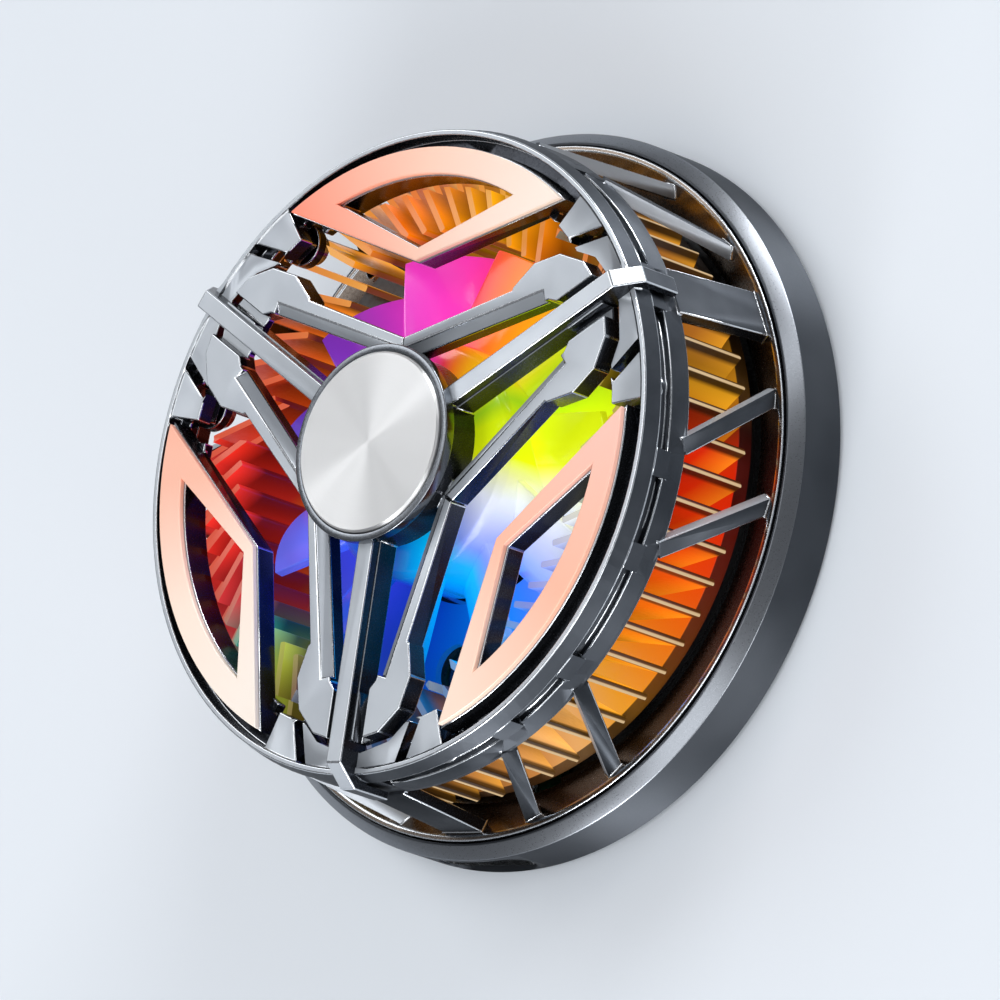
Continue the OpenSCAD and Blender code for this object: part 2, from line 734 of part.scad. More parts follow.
module cage_frame() {
    skirt_r = base_in_r - fit;
    color("dimgray") difference() {
        union() {
            rotate_extrude() polygon([
                [dish_in_r, dish_under_z], [shoulder_r + fit, dish_under_z], [shoulder_r + fit, shoulder_z],
                [skirt_r, shoulder_z], [skirt_r, lip_z], [skirt_r - lip_w, lip_z], [dish_in_r, dish_z]
            ]);
            rotate_extrude() polygon([
                [fin_r + air / 2, band_z], [cage_r, band_z], [cage_r, band_z + 0.4], [cage_r - 0.25, slot_z],
                [cage_wall_r, slot_z], [cage_wall_r, cage_top_z], [cage_wall_r - 0.6, cage_top_z],
                [cage_wall_r - 0.6, slot_z], [fin_r + air / 2, slot_z - 0.3]
            ]);
            for (a = trim_angles, s = [-1, 1]) {
                for (p = strut_pairs) cage_strut(a, s * p[0], s * p[1]);
                for (p = post_angles) slot_post(a + s * p, post_deg);
            }
            for (a = arm_angles) {
                cage_arm_strut(a);
                slot_post(a, arm_post_deg);
            }
            for (a = grille_screw_angles) translate(polar(grille_screw_r, a, cage_top_z - boss_t))
                cylinder(r = boss_r + fit, h = boss_t - fit);
        }
        for (a = grille_screw_angles) translate(polar(grille_screw_r, a, band_z))
            cylinder(r = grille_screw[0] + fit / 2, h = cage_top_z);
        stadium_bar(usb_w + 2 * fit, usb_h + 2 * fit, -base_r, -cold_r, usb_mid_z);
    }
}

// Front grille: ring with its lip, walls that carry the trims, and three arms that meet at the hub
module trim_plan(tip_r, slope) {
    half = base_r;
    polygon([[tip_r, 0], [tip_r + half * tan(slope), half], [2 * base_r, half],
        [2 * base_r, -half], [tip_r + half * tan(slope), -half]]);
}

module trim_solid(arc_r, tip_r, slope, z0, z1) {
    intersection() {
        disc(arc_r, z0, z1);
        translate([0, 0, z0 - cut]) linear_extrude(z1 - z0 + 2 * cut) trim_plan(tip_r, slope);
    }
}

module trim_shape(inset, z0, z1) {
    difference() {
        trim_solid(trim_arc_r - inset, trim_tip_r + inset, trim_slope, z0, z1);
        trim_solid(window_arc_r + inset, window_tip_r - inset, window_slope, z0 - cut, z1 + cut);
    }
}

module trim_carrier() {
    deep_deg = 34;
    trim_shape(0, trim_wall_z, trim_z);
    intersection() {
        tube(window_arc_r, ring_in_r + fuse / 2, cage_top_z + 2 * fit, trim_wall_z + fuse);
        wedge(-deep_deg, deep_deg, cage_top_z - cut, trim_z);
    }
}

module arm_plan() {
    difference() {
        union() {
            for (s = [-1, 1]) translate([head_u, s * head_offset]) circle(r = head_r, $fn = head_sides);
            polygon([[arm_root_u, arm_root_v], [arm_neck_u, arm_neck_v], [head_u, head_offset],
                [head_u, -head_offset], [arm_neck_u, -arm_neck_v], [arm_root_u, -arm_root_v]]);
        }
        for (s = [-1, 1]) polygon([
            [arm_root_u, s * slot_v], [arm_root_u, s * (arm_root_v - side_prong_w)],
            [slot_end_u - slot_end_step, s * (slot_v + slot_end_w)],
            [slot_end_u, s * (slot_v + slot_end_w / 2)], [slot_end_u, s * slot_v]
        ]);
    }
}

// Bevel along the slot side of a side prong
module slot_bevel() {
    fall = 32;
    root_v = arm_root_v - side_prong_w;
    end_v = slot_v + slot_end_w;
    run_u = slot_end_u - slot_end_step - arm_root_u;
    lean = atan2(root_v - end_v, run_u);
    width = slot_bevel_w / cos(fall);
    translate([arm_root_u, root_v, arm_top_z - slot_bevel_w * tan(fall)]) rotate(-lean)
        rotate([fall, 0, 0]) translate([0, -width, 0]) cube([run_u, 3 * width, arm_t]);
}

// Channel that carries a slot on through the shoulder to its outer edge
module head_channel() {
    translate([slot_end_u - fuse, prong_w / 2 + 1.5 * fit, arm_top_z - channel_depth])
        cube([2 * head_r, channel_w, arm_t]);
}

// Middle prong: level to the rim, then hooked over it and down across the shadow slot
module middle_prong() {
    hook_r = cage_r + hook_reach;
    step_r = ring_in_r - air;
    foot_z = band_z + 2 * fuse;
    bend_z = rim_top_z - 0.3;
    translate([0, prong_w / 2, 0]) rotate([90, 0, 0]) linear_extrude(prong_w) polygon([
        [arm_root_u, arm_z + fit], [step_r, arm_z + fit], [step_r, rim_z + fit],
        [cage_r + fit, rim_z + fit], [cage_r + fit, foot_z], [hook_r, foot_z], [hook_r, bend_z],
        [rim_top_r - 0.6, ridge_z], [arm_root_u, ridge_z]
    ]);
}

module grille_arm() {
    intersection() {
        difference() {
            translate([0, 0, arm_z]) linear_extrude(arm_t) arm_plan();
            for (side = [0, 1]) mirror([0, side, 0]) {
                slot_bevel();
                head_channel();
            }
        }
        wedge(-arm_half_deg, arm_half_deg, arm_z - cut, arm_top_z + cut);
    }
    middle_prong();
}

// Key that joins the roots of two neighbouring arms
module root_key() {
    key_w = 0.8;
    key_end = hub_boss_r + 1;
    translate([hub_boss_r - 1, -key_w / 2, arm_z + fit]) cube([key_end - hub_boss_r + 1, key_w, arm_t / 2]);
}

// Slit that leans in beside an arm's seat, and parts it from the tooth next to it
module seat_slit() {
    slit_u = tooth_in_r - cut;
    slit_v = 5.6;
    slit_lean = 16;
    translate([slit_u, slit_v, groove_z - cut]) rotate(-slit_lean) cube([lip_in_r - slit_u, slit_w, 3 * cut]);
}

// Raised seat in the ring at an arm, cut clear of the shoulders, with a tooth on each side of it
module arm_seat() {
    difference() {
        intersection() {
            tube(tooth_in_r, lip_in_r + fuse / 2, groove_z - fit, rim_top_z - fit);
            wedge(-seat_half_deg, seat_half_deg, groove_z - cut, rim_top_z + cut);
        }
        for (side = [0, 1]) mirror([0, side, 0]) {
            seat_slit();
            translate([head_u, head_offset, groove_z - cut])
                cylinder(r = head_r + seat_gap, h = 3 * cut, $fn = head_sides);
        }
    }
    for (side = [0, 1]) mirror([0, side, 0]) intersection() {
        tube(tooth_in_r + fit, ring_in_r + fuse, cage_top_z + fit, groove_z + fit);
        wedge(screw_tooth_deg[0], screw_tooth_deg[1], cage_top_z - cut, rim_top_z + cut);
    }
}

module front_grille() {
    color("lightslategray") difference() {
        union() {
            rotate_extrude() polygon([
                [ring_in_r, cage_top_z], [cage_wall_r, cage_top_z], [cage_wall_r, rim_z], [cage_r, rim_z],
                [rim_top_r, rim_top_z], [lip_in_r, rim_top_z], [lip_in_r, groove_z], [ring_in_r, groove_z]
            ]);
            disc(hub_boss_r, arm_z - fit, boss_top_z);
            for (a = trim_angles) rotate(a) {
                trim_carrier();
                root_key();
            }
            for (a = arm_angles) rotate(a) {
                grille_arm();
                arm_seat();
            }
        }
        for (a = grille_screw_angles) translate(polar(grille_screw_r, a, cage_top_z - cut))
            cylinder(r = grille_screw[0] + fit / 2, h = cut + 1.6);
    }
}

module grille_screws() {
    color("silver") for (a = grille_screw_angles) translate(polar(grille_screw_r, a, cage_top_z - boss_t))
        mirror([0, 0, 1]) screw(grille_screw, boss_t + 1.4);
}

module accent_trim(a) {
    color("lightsalmon") rotate(a) trim_shape(fit, trim_z, trim_z + trim_t);
}

module cap_bezel() {
    color("silver") tube(cap_r + fit / 2, bezel_r, boss_top_z, boss_top_z + bezel_h);
}

module cap_disc() {
    edge = 0.15;
    color("gainsboro") translate([0, 0, boss_top_z]) rotate_extrude() polygon([
        [0, 0], [cap_r, 0], [cap_r, cap_t - edge], [cap_r - edge, cap_t], [0, cap_t]
    ]);
}

base_housing();
grip_ring();
cold_plate();
ring_magnets();
magnet_yoke();
usb_shell();
usb_tongue();
inlet_board();
tec_cold_ceramic();
tec_pellets();
tec_hot_ceramic();
foam_gasket();
lead_wires();
heatsink();
clamp_screws();
control_board();
board_chips();
rgb_leds();
light_diffuser();
motor_base();
motor_screws();
bearing_bush();
stator_core();
stator_coils();
fan_shaft();
shaft_clip();
rotor_yoke();
rotor_magnet();
impeller();
cage_frame();
front_grille();
grille_screws();
accent_trim(trim_angles[0]);  // accent_trim_top
accent_trim(trim_angles[1]);  // accent_trim_left
accent_trim(trim_angles[2]);  // accent_trim_right
cap_bezel();
cap_disc();
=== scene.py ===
# %% [markdown]
# # A round phone cooler
# The looks of a magnetic cooler: a silver three-armed grille with peach trims, a spun cap, a fan
# and fins lit in colours, and a dark cage on a gunmetal base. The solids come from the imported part,
# which also gives every size here, so each piece lands where its solid is.

import math

import bmesh
import bpy
from mathutils import Matrix, Vector
from mathutils.geometry import intersect_point_line


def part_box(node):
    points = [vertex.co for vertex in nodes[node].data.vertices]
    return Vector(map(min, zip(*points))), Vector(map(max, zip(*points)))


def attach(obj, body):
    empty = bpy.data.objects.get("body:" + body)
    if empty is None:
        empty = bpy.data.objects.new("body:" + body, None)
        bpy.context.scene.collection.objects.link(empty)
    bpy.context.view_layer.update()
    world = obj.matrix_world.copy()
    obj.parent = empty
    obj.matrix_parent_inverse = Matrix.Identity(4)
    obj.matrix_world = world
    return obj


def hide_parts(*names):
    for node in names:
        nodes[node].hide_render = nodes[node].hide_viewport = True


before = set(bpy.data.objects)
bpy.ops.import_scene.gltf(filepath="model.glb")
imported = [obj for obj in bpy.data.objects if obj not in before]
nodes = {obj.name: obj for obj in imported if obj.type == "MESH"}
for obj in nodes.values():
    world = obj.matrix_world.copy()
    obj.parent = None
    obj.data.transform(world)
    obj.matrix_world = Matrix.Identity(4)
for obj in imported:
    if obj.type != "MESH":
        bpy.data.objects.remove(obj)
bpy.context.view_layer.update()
scene = bpy.context.scene
MM = 0.001

# %% [markdown]
# The camera was fitted to the circles of the base, rim and cap in the photograph. It looks down at
# about 45 degrees and is rolled, because the cooler leans with the surface that it sits on. The
# focal length is stretched so that the cooler fills the frame without any shift.

# %% Camera
FOCAL_PX = 6387.94
FRAME_PX = 1000
CLOSER = 2.2
camera_right = Vector((0.732294, 0.142627, -0.665885))
camera_up = Vector((0.025001, 0.971532, 0.235587))
camera_back = Vector((0.680529, -0.189167, 0.707881))
camera_place = Vector((723.36, -201.96, 759.02)) * MM

camera_data = bpy.data.cameras.new("camera")
camera_data.sensor_fit = "HORIZONTAL"
camera_data.sensor_width = 36.0
camera_data.lens = camera_data.sensor_width * FOCAL_PX * CLOSER / FRAME_PX
camera_data.clip_start = 0.05
camera_data.clip_end = 20.0
camera = bpy.data.objects.new("camera", camera_data)
axes = Matrix((camera_right, camera_up, camera_back)).transposed()
camera.matrix_world = Matrix.Translation(camera_place) @ axes.to_4x4()
scene.collection.objects.link(camera)
scene.camera = camera
scene.view_settings.view_transform = "Standard"
print("lens", round(camera_data.lens, 1), "mm")

# %% [markdown]
# Metal shows what stands round it, so the soft boxes are placed by what should mirror them. One hangs
# overhead, and one is there for the spun cap. Three stand low, and their reflections run as bright
# bands down the turned walls without lighting the front. Two more are for the bevel round the base.

# %% Studio
def softbox(name, azimuth, elevation, distance, width, height, radiance):
    """A rectangular lamp that faces the cooler, as bright as a white sheet at that radiance."""
    light = bpy.data.lights.new(name, "AREA")
    light.shape = "RECTANGLE"
    light.size = width
    light.size_y = height
    light.energy = radiance * math.pi * width * height
    turn, rise = math.radians(azimuth), math.radians(elevation)
    place = distance * Vector((
        math.cos(rise) * math.cos(turn), math.cos(rise) * math.sin(turn), math.sin(rise)))
    lamp = bpy.data.objects.new(name, light)
    facing = place.to_track_quat("Z", "Y").to_matrix().to_4x4()
    lamp.matrix_world = Matrix.Translation(place) @ facing
    scene.collection.objects.link(lamp)


# Name, azimuth and elevation in degrees, distance, width and height in metres, radiance.
SOFT_BOXES = [
    ("cap_box", 146, 44, 0.9, 0.35, 0.5, 3.3),
    ("top_box", 0, 88, 1.0, 0.7, 0.7, 1.75),
    ("right_band", 72, 10, 0.9, 0.4, 0.25, 20),
    ("left_band", -88, 10, 0.9, 0.3, 0.25, 22),
    ("middle_band", -40, 10, 1.0, 0.45, 0.25, 8),
    ("right_bevel", 50, 35, 0.9, 0.2, 0.4, 3.0),
    ("left_bevel", -64, 38, 0.9, 0.45, 0.4, 3.2)]
for box in SOFT_BOXES:
    softbox(*box)

STUDIO_GREY = (0.27, 0.275, 0.285, 1)
world = bpy.data.worlds.new("studio")
scene.world = world
world.use_nodes = True
world.node_tree.nodes["Background"].inputs["Color"].default_value = STUDIO_GREY
print("lamps", len(bpy.data.lights))

# %% [markdown]
# The floor is a plain pale sheet just under the contact plane, so it keeps the cooler's shadow. Its
# paint is the first finish, and the function that makes it serves every other finish too.

# %% Floor
def srgb(code):
    """Linear colour of a #rrggbb code."""
    parts = [int(code[i:i + 2], 16) / 255 for i in (1, 3, 5)]
    linear = [c / 12.92 if c <= 0.04045 else ((c + 0.055) / 1.055) ** 2.4 for c in parts]
    return (*linear, 1.0)


def finish(name, color, metallic=0.0, roughness=0.5, **settings):
    """A material whose plain values sit on its shader's own sockets."""
    material = bpy.data.materials.new(name)
    material.use_nodes = True
    shader = material.node_tree.nodes["Principled BSDF"]
    shader.inputs["Base Color"].default_value = srgb(color)
    shader.inputs["Metallic"].default_value = metallic
    shader.inputs["Roughness"].default_value = roughness
    for socket, value in settings.items():
        shader.inputs[socket.replace("_", " ")].default_value = value
    return material


FLOOR_HALF = 3.0
FLOOR_DROP = 0.02
floor_mesh = bpy.data.meshes.new("floor")
corners = [(-1, -1), (1, -1), (1, 1), (-1, 1)]
floor_mesh.from_pydata([(x * FLOOR_HALF, y * FLOOR_HALF, 0) for x, y in corners], [], [(0, 1, 2, 3)])
floor_mesh.materials.append(finish("floor_paint", "#DDE3EA", roughness=0.9))
floor = bpy.data.objects.new("floor", floor_mesh)
floor.location.z = -FLOOR_DROP * MM
scene.collection.objects.link(floor)
print("floor", 2 * FLOOR_HALF, "m")

# %% [markdown]
# A finish is a tree of nodes, and adding them one by one takes many lines. These helpers make a node
# with its settings and links in one call, for shader trees here and for geometry trees later.

# %% Adding nodes
def shader_of(material):
    return material.node_tree.nodes["Principled BSDF"]


def add_to(tree, kind, inputs=None, **settings):
    """A new node with its settings, and with sockets either set or linked."""
    node = tree.nodes.new(kind)
    for key, value in settings.items():
        setattr(node, key, value)
    for key, value in (inputs or {}).items():
        if isinstance(value, bpy.types.NodeSocket):
            tree.links.new(value, node.inputs[key])
        else:
            node.inputs[key].default_value = value
    return node


def add(material, kind, inputs=None, **settings):
    return add_to(material.node_tree, kind, inputs, **settings)


def feed(material, socket, name):
    """Links a socket to an input of the material's shader."""
    material.node_tree.links.new(socket, shader_of(material).inputs[name])


# %% [markdown]
# Every pattern here is laid out on Object coordinates, so it stays put on its piece. On a round
# object the useful ones are the distance from the axis and the height, which are worked out in the
# tree and can then be spread over any range, or mix two colours.

# %% Places and values in a finish
def place_of(material):
    return add(material, "ShaderNodeTexCoord").outputs["Object"]


def around(material):
    """Sockets of the distance from the axis and of the height."""
    parts = add(material, "ShaderNodeSeparateXYZ", {0: place_of(material)}).outputs
    flat = add(material, "ShaderNodeCombineXYZ", {0: parts[0], 1: parts[1]}).outputs[0]
    radius = add(material, "ShaderNodeVectorMath", {0: flat}, operation="LENGTH").outputs["Value"]
    return radius, parts[2]


def math_node(material, operation, *values):
    return add(material, "ShaderNodeMath", dict(enumerate(values)), operation=operation).outputs[0]


def remap(material, value, from_low, from_high, to_low, to_high):
    ends = {0: value, 1: from_low, 2: from_high, 3: to_low, 4: to_high}
    return add(material, "ShaderNodeMapRange", ends).outputs[0]


def mix(material, factor, first, second, blend="MIX"):
    """Mix of two colours: codes, or sockets."""
    node = add(material, "ShaderNodeMix", data_type="RGBA", blend_type=blend)
    for index, value in ((0, factor), (6, first), (7, second)):
        if isinstance(value, bpy.types.NodeSocket):
            material.node_tree.links.new(value, node.inputs[index])
        else:
            node.inputs[index].default_value = srgb(value) if isinstance(value, str) else value
    return node.outputs[2]


# %% [markdown]
# No real surface is quite even. A fine noise of about a tenth of a millimetre changes the roughness
# and lifts a small bump, and a slow one changes the colour over a few millimetres.

# %% Grain and blotches
NOISE_SPAN = (0.3, 0.7)
BLOTCH_SPAN = (0.35, 0.65)


def grain(material, size, rough_low, rough_high, depth, stretch=(1, 1, 1)):
    """Noise of one grain size in millimetres, over roughness and bump."""
    mapped = add(material, "ShaderNodeMapping", {"Vector": place_of(material), "Scale": stretch})
    noise = add(material, "ShaderNodeTexNoise", {
        "Vector": mapped.outputs[0], "Scale": 1 / (size * MM), "Detail": 4.0, "Roughness": 0.6})
    spread = remap(material, noise.outputs[0], *NOISE_SPAN, rough_low, rough_high)
    feed(material, spread, "Roughness")
    bump = add(material, "ShaderNodeBump", {
        "Height": noise.outputs[0], "Strength": 0.35, "Distance": depth * MM})
    feed(material, bump.outputs[0], "Normal")


def blotches(material, size, first, second):
    """Slow colour change over a few millimetres, as on anodised metal."""
    noise = add(material, "ShaderNodeTexNoise", {
        "Vector": place_of(material), "Scale": 1 / (size * MM), "Detail": 2.0})
    spread = remap(material, noise.outputs[0], *BLOTCH_SPAN, 0.0, 1.0)
    feed(material, mix(material, spread, first, second), "Base Color")


# %% [markdown]
# The metals. The front is bead-blasted silver, the walls under it are near-black gunmetal, the rim
# outside is a satin gunmetal that was turned, and a last finish, a pale polished metal, goes on every
# bevelled edge so the edges show bright. Turned metal has fine grooves round the axis, and its shine
# spreads across them. Anisotropy gives that, and it needs a map that runs the same way.

# %% Metals
ACROSS = 0.25


def turned(material):
    """Shine that follows fine grooves round the axis, along the UV map of that name."""
    tangent = add(material, "ShaderNodeTangent", direction_type="UV_MAP", uv_map="turned")
    feed(material, tangent.outputs[0], "Tangent")
    shader_of(material).inputs["Anisotropic Rotation"].default_value = ACROSS


silver = finish("silver_front", "#AEB4BB", metallic=0.45, roughness=0.4)
grain(silver, 0.12, 0.34, 0.46, 0.004)
blotches(silver, 6, "#A9AFB7", "#B5BBC2")

gunmetal = finish("gunmetal_wall", "#303237", metallic=0.9, roughness=0.25)
grain(gunmetal, 0.2, 0.18, 0.32, 0.003)
blotches(gunmetal, 4, "#2B2D32", "#393C42")

satin = finish("satin_gunmetal", "#4A4E54", metallic=1.0, roughness=0.46, Anisotropic=0.9)
turned(satin)
grain(satin, 0.2, 0.42, 0.5, 0.001)
blotches(satin, 5, "#44484E", "#52565C")

polished = finish("polished_edge", "#C9CDD2", metallic=1.0, roughness=0.2)
grain(polished, 0.3, 0.14, 0.3, 0.002)
print("metals", [m.name for m in (silver, gunmetal, satin, polished)])

# %% [markdown]
# A CAD solid has knife edges, and a real casting doesn't, so a copy of the node gets a small bevel.
# First its triangles are merged back into flat faces. A face that closes into a ring can't be one
# polygon, so faces are only merged inside a sector of the circle.

# %% Flat faces
SECTORS = 36
WELD = 0.003
SLIVER = 0.001
SAME_PLANE = math.radians(0.2)


def flat_faces(node):
    """The node's triangles merged into flat faces, each inside one sector."""
    bm = bmesh.new()
    bm.from_mesh(nodes[node].data)
    bmesh.ops.remove_doubles(bm, verts=bm.verts[:], dist=WELD * MM)
    bmesh.ops.dissolve_degenerate(bm, dist=SLIVER * MM, edges=bm.edges[:])
    for face in bm.faces:
        middle = face.calc_center_median()
        face.material_index = int((math.atan2(middle.y, middle.x) / math.tau + 0.5) * SECTORS)
    bmesh.ops.dissolve_limit(
        bm, angle_limit=SAME_PLANE, verts=bm.verts[:], edges=bm.edges[:], delimit={"MATERIAL"})
    return bm


# %% [markdown]
# An edge beside a step too short for two bevels stays sharp, because bevels that meet would fold the
# mesh. Making one of them narrower doesn't help: with unequal widths the corners fly off.

# %% Room for a bevel
SHARP = math.radians(22)
ROOM = 2.4
SIDEWAYS = 0.7


def beside(point, along, other):
    """Distance from a point to another edge, if that edge lies beside the direction and not ahead."""
    start, end = (v.co for v in other.verts)
    share = intersect_point_line(point, start, end)[1]
    gap = start.lerp(end, min(max(share, 0.0), 1.0)) - point
    across = gap - gap.dot(along) * along
    return gap.length if across.length > SIDEWAYS * gap.length else math.inf


def has_room(edge, width):
    """Whether both faces of the edge are wide enough for a bevel on their far side too."""
    start, end = (v.co for v in edge.verts)
    along = (end - start).normalized()
    points = [start, start.lerp(end, 0.5), end]
    for face in edge.link_faces:
        for other in face.edges:
            if other.calc_face_angle(0) < SHARP or set(other.verts) & set(edge.verts):
                continue
            gaps = [beside(point, along, other) for point in points]
            gaps += [beside(corner.co, along, edge) for corner in other.verts]
            if min(gaps) < ROOM * width:
                return False
    return True


# %% [markdown]
# A modifier does the bevel, and what counts is the mesh that it leaves, so it is turned into plain
# mesh at once. The copy also gets the map round the axis that turned metal needs.

# %% Pieces and their maps
MAP_HEIGHT = 25


def new_piece(name, mesh):
    piece = bpy.data.objects.new(name, mesh)
    scene.collection.objects.link(piece)
    return piece


def applied(piece):
    """Turns the piece's modifiers into plain mesh."""
    evaluated = piece.evaluated_get(bpy.context.evaluated_depsgraph_get())
    mesh = bpy.data.meshes.new_from_object(evaluated)
    piece.modifiers.clear()
    piece.data = mesh
    return piece


def map_round(mesh):
    """A UV map that runs round the axis, for metal that was turned."""
    uv = mesh.uv_layers.new(name="turned")
    for face in mesh.polygons:
        middle = math.atan2(face.center.y, face.center.x)
        for loop in face.loop_indices:
            place = mesh.vertices[mesh.loops[loop].vertex_index].co
            turn = math.atan2(place.y, place.x) - middle
            nearest = (turn + math.pi) % math.tau - math.pi + middle
            uv.data[loop].uv = (nearest, place.z / (MAP_HEIGHT * MM))


# %% [markdown]
# Now the copy itself. Every sharp edge that has room gets the same weight, and the modifier can give
# the new bevel faces a finish of their own, which makes the edges bright.

# %% Bevelled copies of CAD nodes
BEVEL_STEPS = 2


def bevelled_copy(name, node, width, materials, choose, edges=None):
    """A bevelled copy of a CAD node. choose names each face's finish, edges that of the bevels."""
    bm = flat_faces(node)
    weights = bm.edges.layers.float.new("bevel_weight_edge")
    for edge in bm.edges:
        if len(edge.link_faces) == 2 and edge.calc_face_angle(0) > SHARP and has_room(edge, width * MM):
            edge[weights] = 1.0
    for face in bm.faces:
        face.material_index = materials.index(choose(face))
        face.smooth = True
    mesh = bpy.data.meshes.new(name)
    bm.to_mesh(mesh)
    bm.free()
    for material in materials:
        mesh.materials.append(material)
    piece = new_piece(name, mesh)
    bevel = piece.modifiers.new("edges", "BEVEL")
    bevel.limit_method = "WEIGHT"
    bevel.width = width * MM
    bevel.segments = BEVEL_STEPS
    bevel.use_clamp_overlap = False
    bevel.loop_slide = False
    bevel.harden_normals = True
    bevel.material = -1 if edges is None else materials.index(edges)
    mesh.set_sharp_from_angle(angle=SHARP)
    applied(piece)
    map_round(piece.data)
    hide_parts(node)
    print(name, len(piece.data.polygons), "faces")
    return piece


# %% [markdown]
# The front grille is one casting, silver only where it was machined on top. Faces that look up and
# lie above the groove get the silver, walls and groove floors stay gunmetal, and the bevels between
# them are the polished edges.

# %% Front grille
RIM_R = 24.6
SILVER_Z = 17.7
GRILLE_BEVEL = 0.11


def looks_out(face):
    """Whether a face on the rim looks away from the axis."""
    middle = face.calc_center_median()
    return middle.xy.length > RIM_R * MM and face.normal.xy.dot(middle.xy.normalized()) > 0.6


def grille_finish(face):
    """Finish of a face of the grille, by where it lies and where it looks."""
    if face.normal.z > 0.35 and face.calc_center_median().z > SILVER_Z * MM:
        return silver
    return satin if looks_out(face) else gunmetal


grille_metals = (silver, gunmetal, satin, polished)
grille = bevelled_copy(
    "silver_grille", "front_grille", GRILLE_BEVEL, grille_metals, grille_finish, polished)
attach(grille, "cooler_body")

# %% [markdown]
# The cage below it is the same gunmetal, satin on what faces out above its lip. The upper sides of
# its slanted struts take the silver as a painted highlight, and its dish is glossier, so the fins mirror
# in it.

# %% Cage
LIP_Z = 5.6
BAND_Z = 13.8
EDGE_BEVEL = 0.1
dish_metal = finish("dish_metal", "#7C726A", metallic=1.0, roughness=0.26)
grain(dish_metal, 0.25, 0.2, 0.34, 0.002)


def cage_finish(face):
    """Finish of a face of the cage, by where it lies and where it looks."""
    middle = face.calc_center_median()
    out = face.normal.xy.dot(middle.xy.normalized())
    if middle.z < LIP_Z * MM:
        return dish_metal if face.normal.z > 0.1 or out < -0.3 else gunmetal
    # Painted highlight: strut faces that look partly up, between lip and band, take the silver.
    if middle.z < BAND_Z * MM and 0.2 < face.normal.z < 0.9:
        return silver
    return satin if out > 0.5 or face.normal.z > 0.2 else gunmetal


cage_metals = (gunmetal, satin, polished, silver, dish_metal)
cage = bevelled_copy("gunmetal_cage", "cage_frame", EDGE_BEVEL, cage_metals, cage_finish, polished)
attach(cage, "cooler_body")

# %% [markdown]
# Several finishes change colour round the axis. A colour ramp over the polar angle of Object
# coordinates does that without a picture. The ramp is closed where the turn wraps, so no seam shows.

# %% Colours round the axis
def polar_turn(material):
    """Polar angle about the axis, as a share of a full turn that starts at -180 degrees."""
    parts = add(material, "ShaderNodeSeparateXYZ", {0: place_of(material)}).outputs
    angle = math_node(material, "ARCTAN2", parts[1], parts[0])
    return remap(material, angle, -math.pi, math.pi, 0.0, 1.0)


def ramp(material, value, stops):
    """Colour ramp with stops of (position, code)."""
    node = add(material, "ShaderNodeValToRGB", {0: value})
    elements = node.color_ramp.elements
    while len(elements) < len(stops):
        elements.new(0.5)
    for element, (position, code) in zip(elements, sorted(stops)):
        element.position = position
        element.color = srgb(code)
    return node.outputs[0]


def turn_share(degrees):
    return ((degrees + 180) % 360) / 360


def ring_of_colours(material, stops):
    """Ramp round the axis with stops of (degrees, code), closed where the turn wraps."""
    shares = sorted((turn_share(degrees), code) for degrees, code in stops)
    first = shares[0]
    closed = [(0.0, first[1])] if first[0] > 0 else []
    return ramp(material, polar_turn(material), closed + shares + [(1.0, first[1])])


# %% [markdown]
# The trims are lacquered peach, with a thin clear coat. Round the cooler the peach fades to cream and
# back: the cream stretches are painted highlights of the lacquer's shine. They are bevelled copies too,
# all in one finish.

# %% Peach trims
peach = finish("peach_lacquer", "#F9B59B", roughness=0.35, Coat_Weight=0.3, Coat_Roughness=0.15)
grain(peach, 0.15, 0.3, 0.42, 0.002)
# Painted highlights: the cream stops stand for the lacquer's shine, the deeper peach stops are its own
# colour.
feed(peach, ring_of_colours(peach, [
    (57, "#F2E0D2"), (90, "#F9C4AC"), (125, "#FA8668"), (150, "#F88C70"), (185, "#F6B79E"),
    (212, "#FBE2D1"), (240, "#F8ECE1"), (300, "#F8DAC6"), (330, "#F8B69A"), (0, "#F6BDAB"),
    (25, "#F5C8B8")]), "Base Color")
for side in ("top", "left", "right"):
    node = f"accent_trim_{side}"
    trim = bevelled_copy(f"peach_trim_{side}", node, EDGE_BEVEL, (peach,), lambda face: peach)
    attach(trim, "cooler_body")

# %% [markdown]
# Turned pieces are lathe work. Their outline, a few points of radius and height, first gets its
# corners rounded by small curves, as a tool with a rounded nose leaves them.

# %% Soft corners
SIDE_SHARE = 0.45


def softened(outline, radius, steps=4):
    """The outline with each corner replaced by a small curve."""
    points = [Vector(p) for p in outline]
    soft = []
    for i, corner in enumerate(points):
        before, after = points[i - 1] - corner, points[(i + 1) % len(points)] - corner
        start = corner + before.normalized() * min(radius, SIDE_SHARE * before.length)
        end = corner + after.normalized() * min(radius, SIDE_SHARE * after.length)
        for k in range(steps + 1):
            t = k / steps
            soft.append((1 - t) ** 2 * start + 2 * t * (1 - t) * corner + t * t * end)
    return soft


# %% [markdown]
# The outline is swept round the axis in one mesh. A Screw modifier could do it, but here each face
# also gets its place in the map that runs round the piece.

# %% Lathe
TURNS = 256
FLAT_LIMIT = math.radians(40)


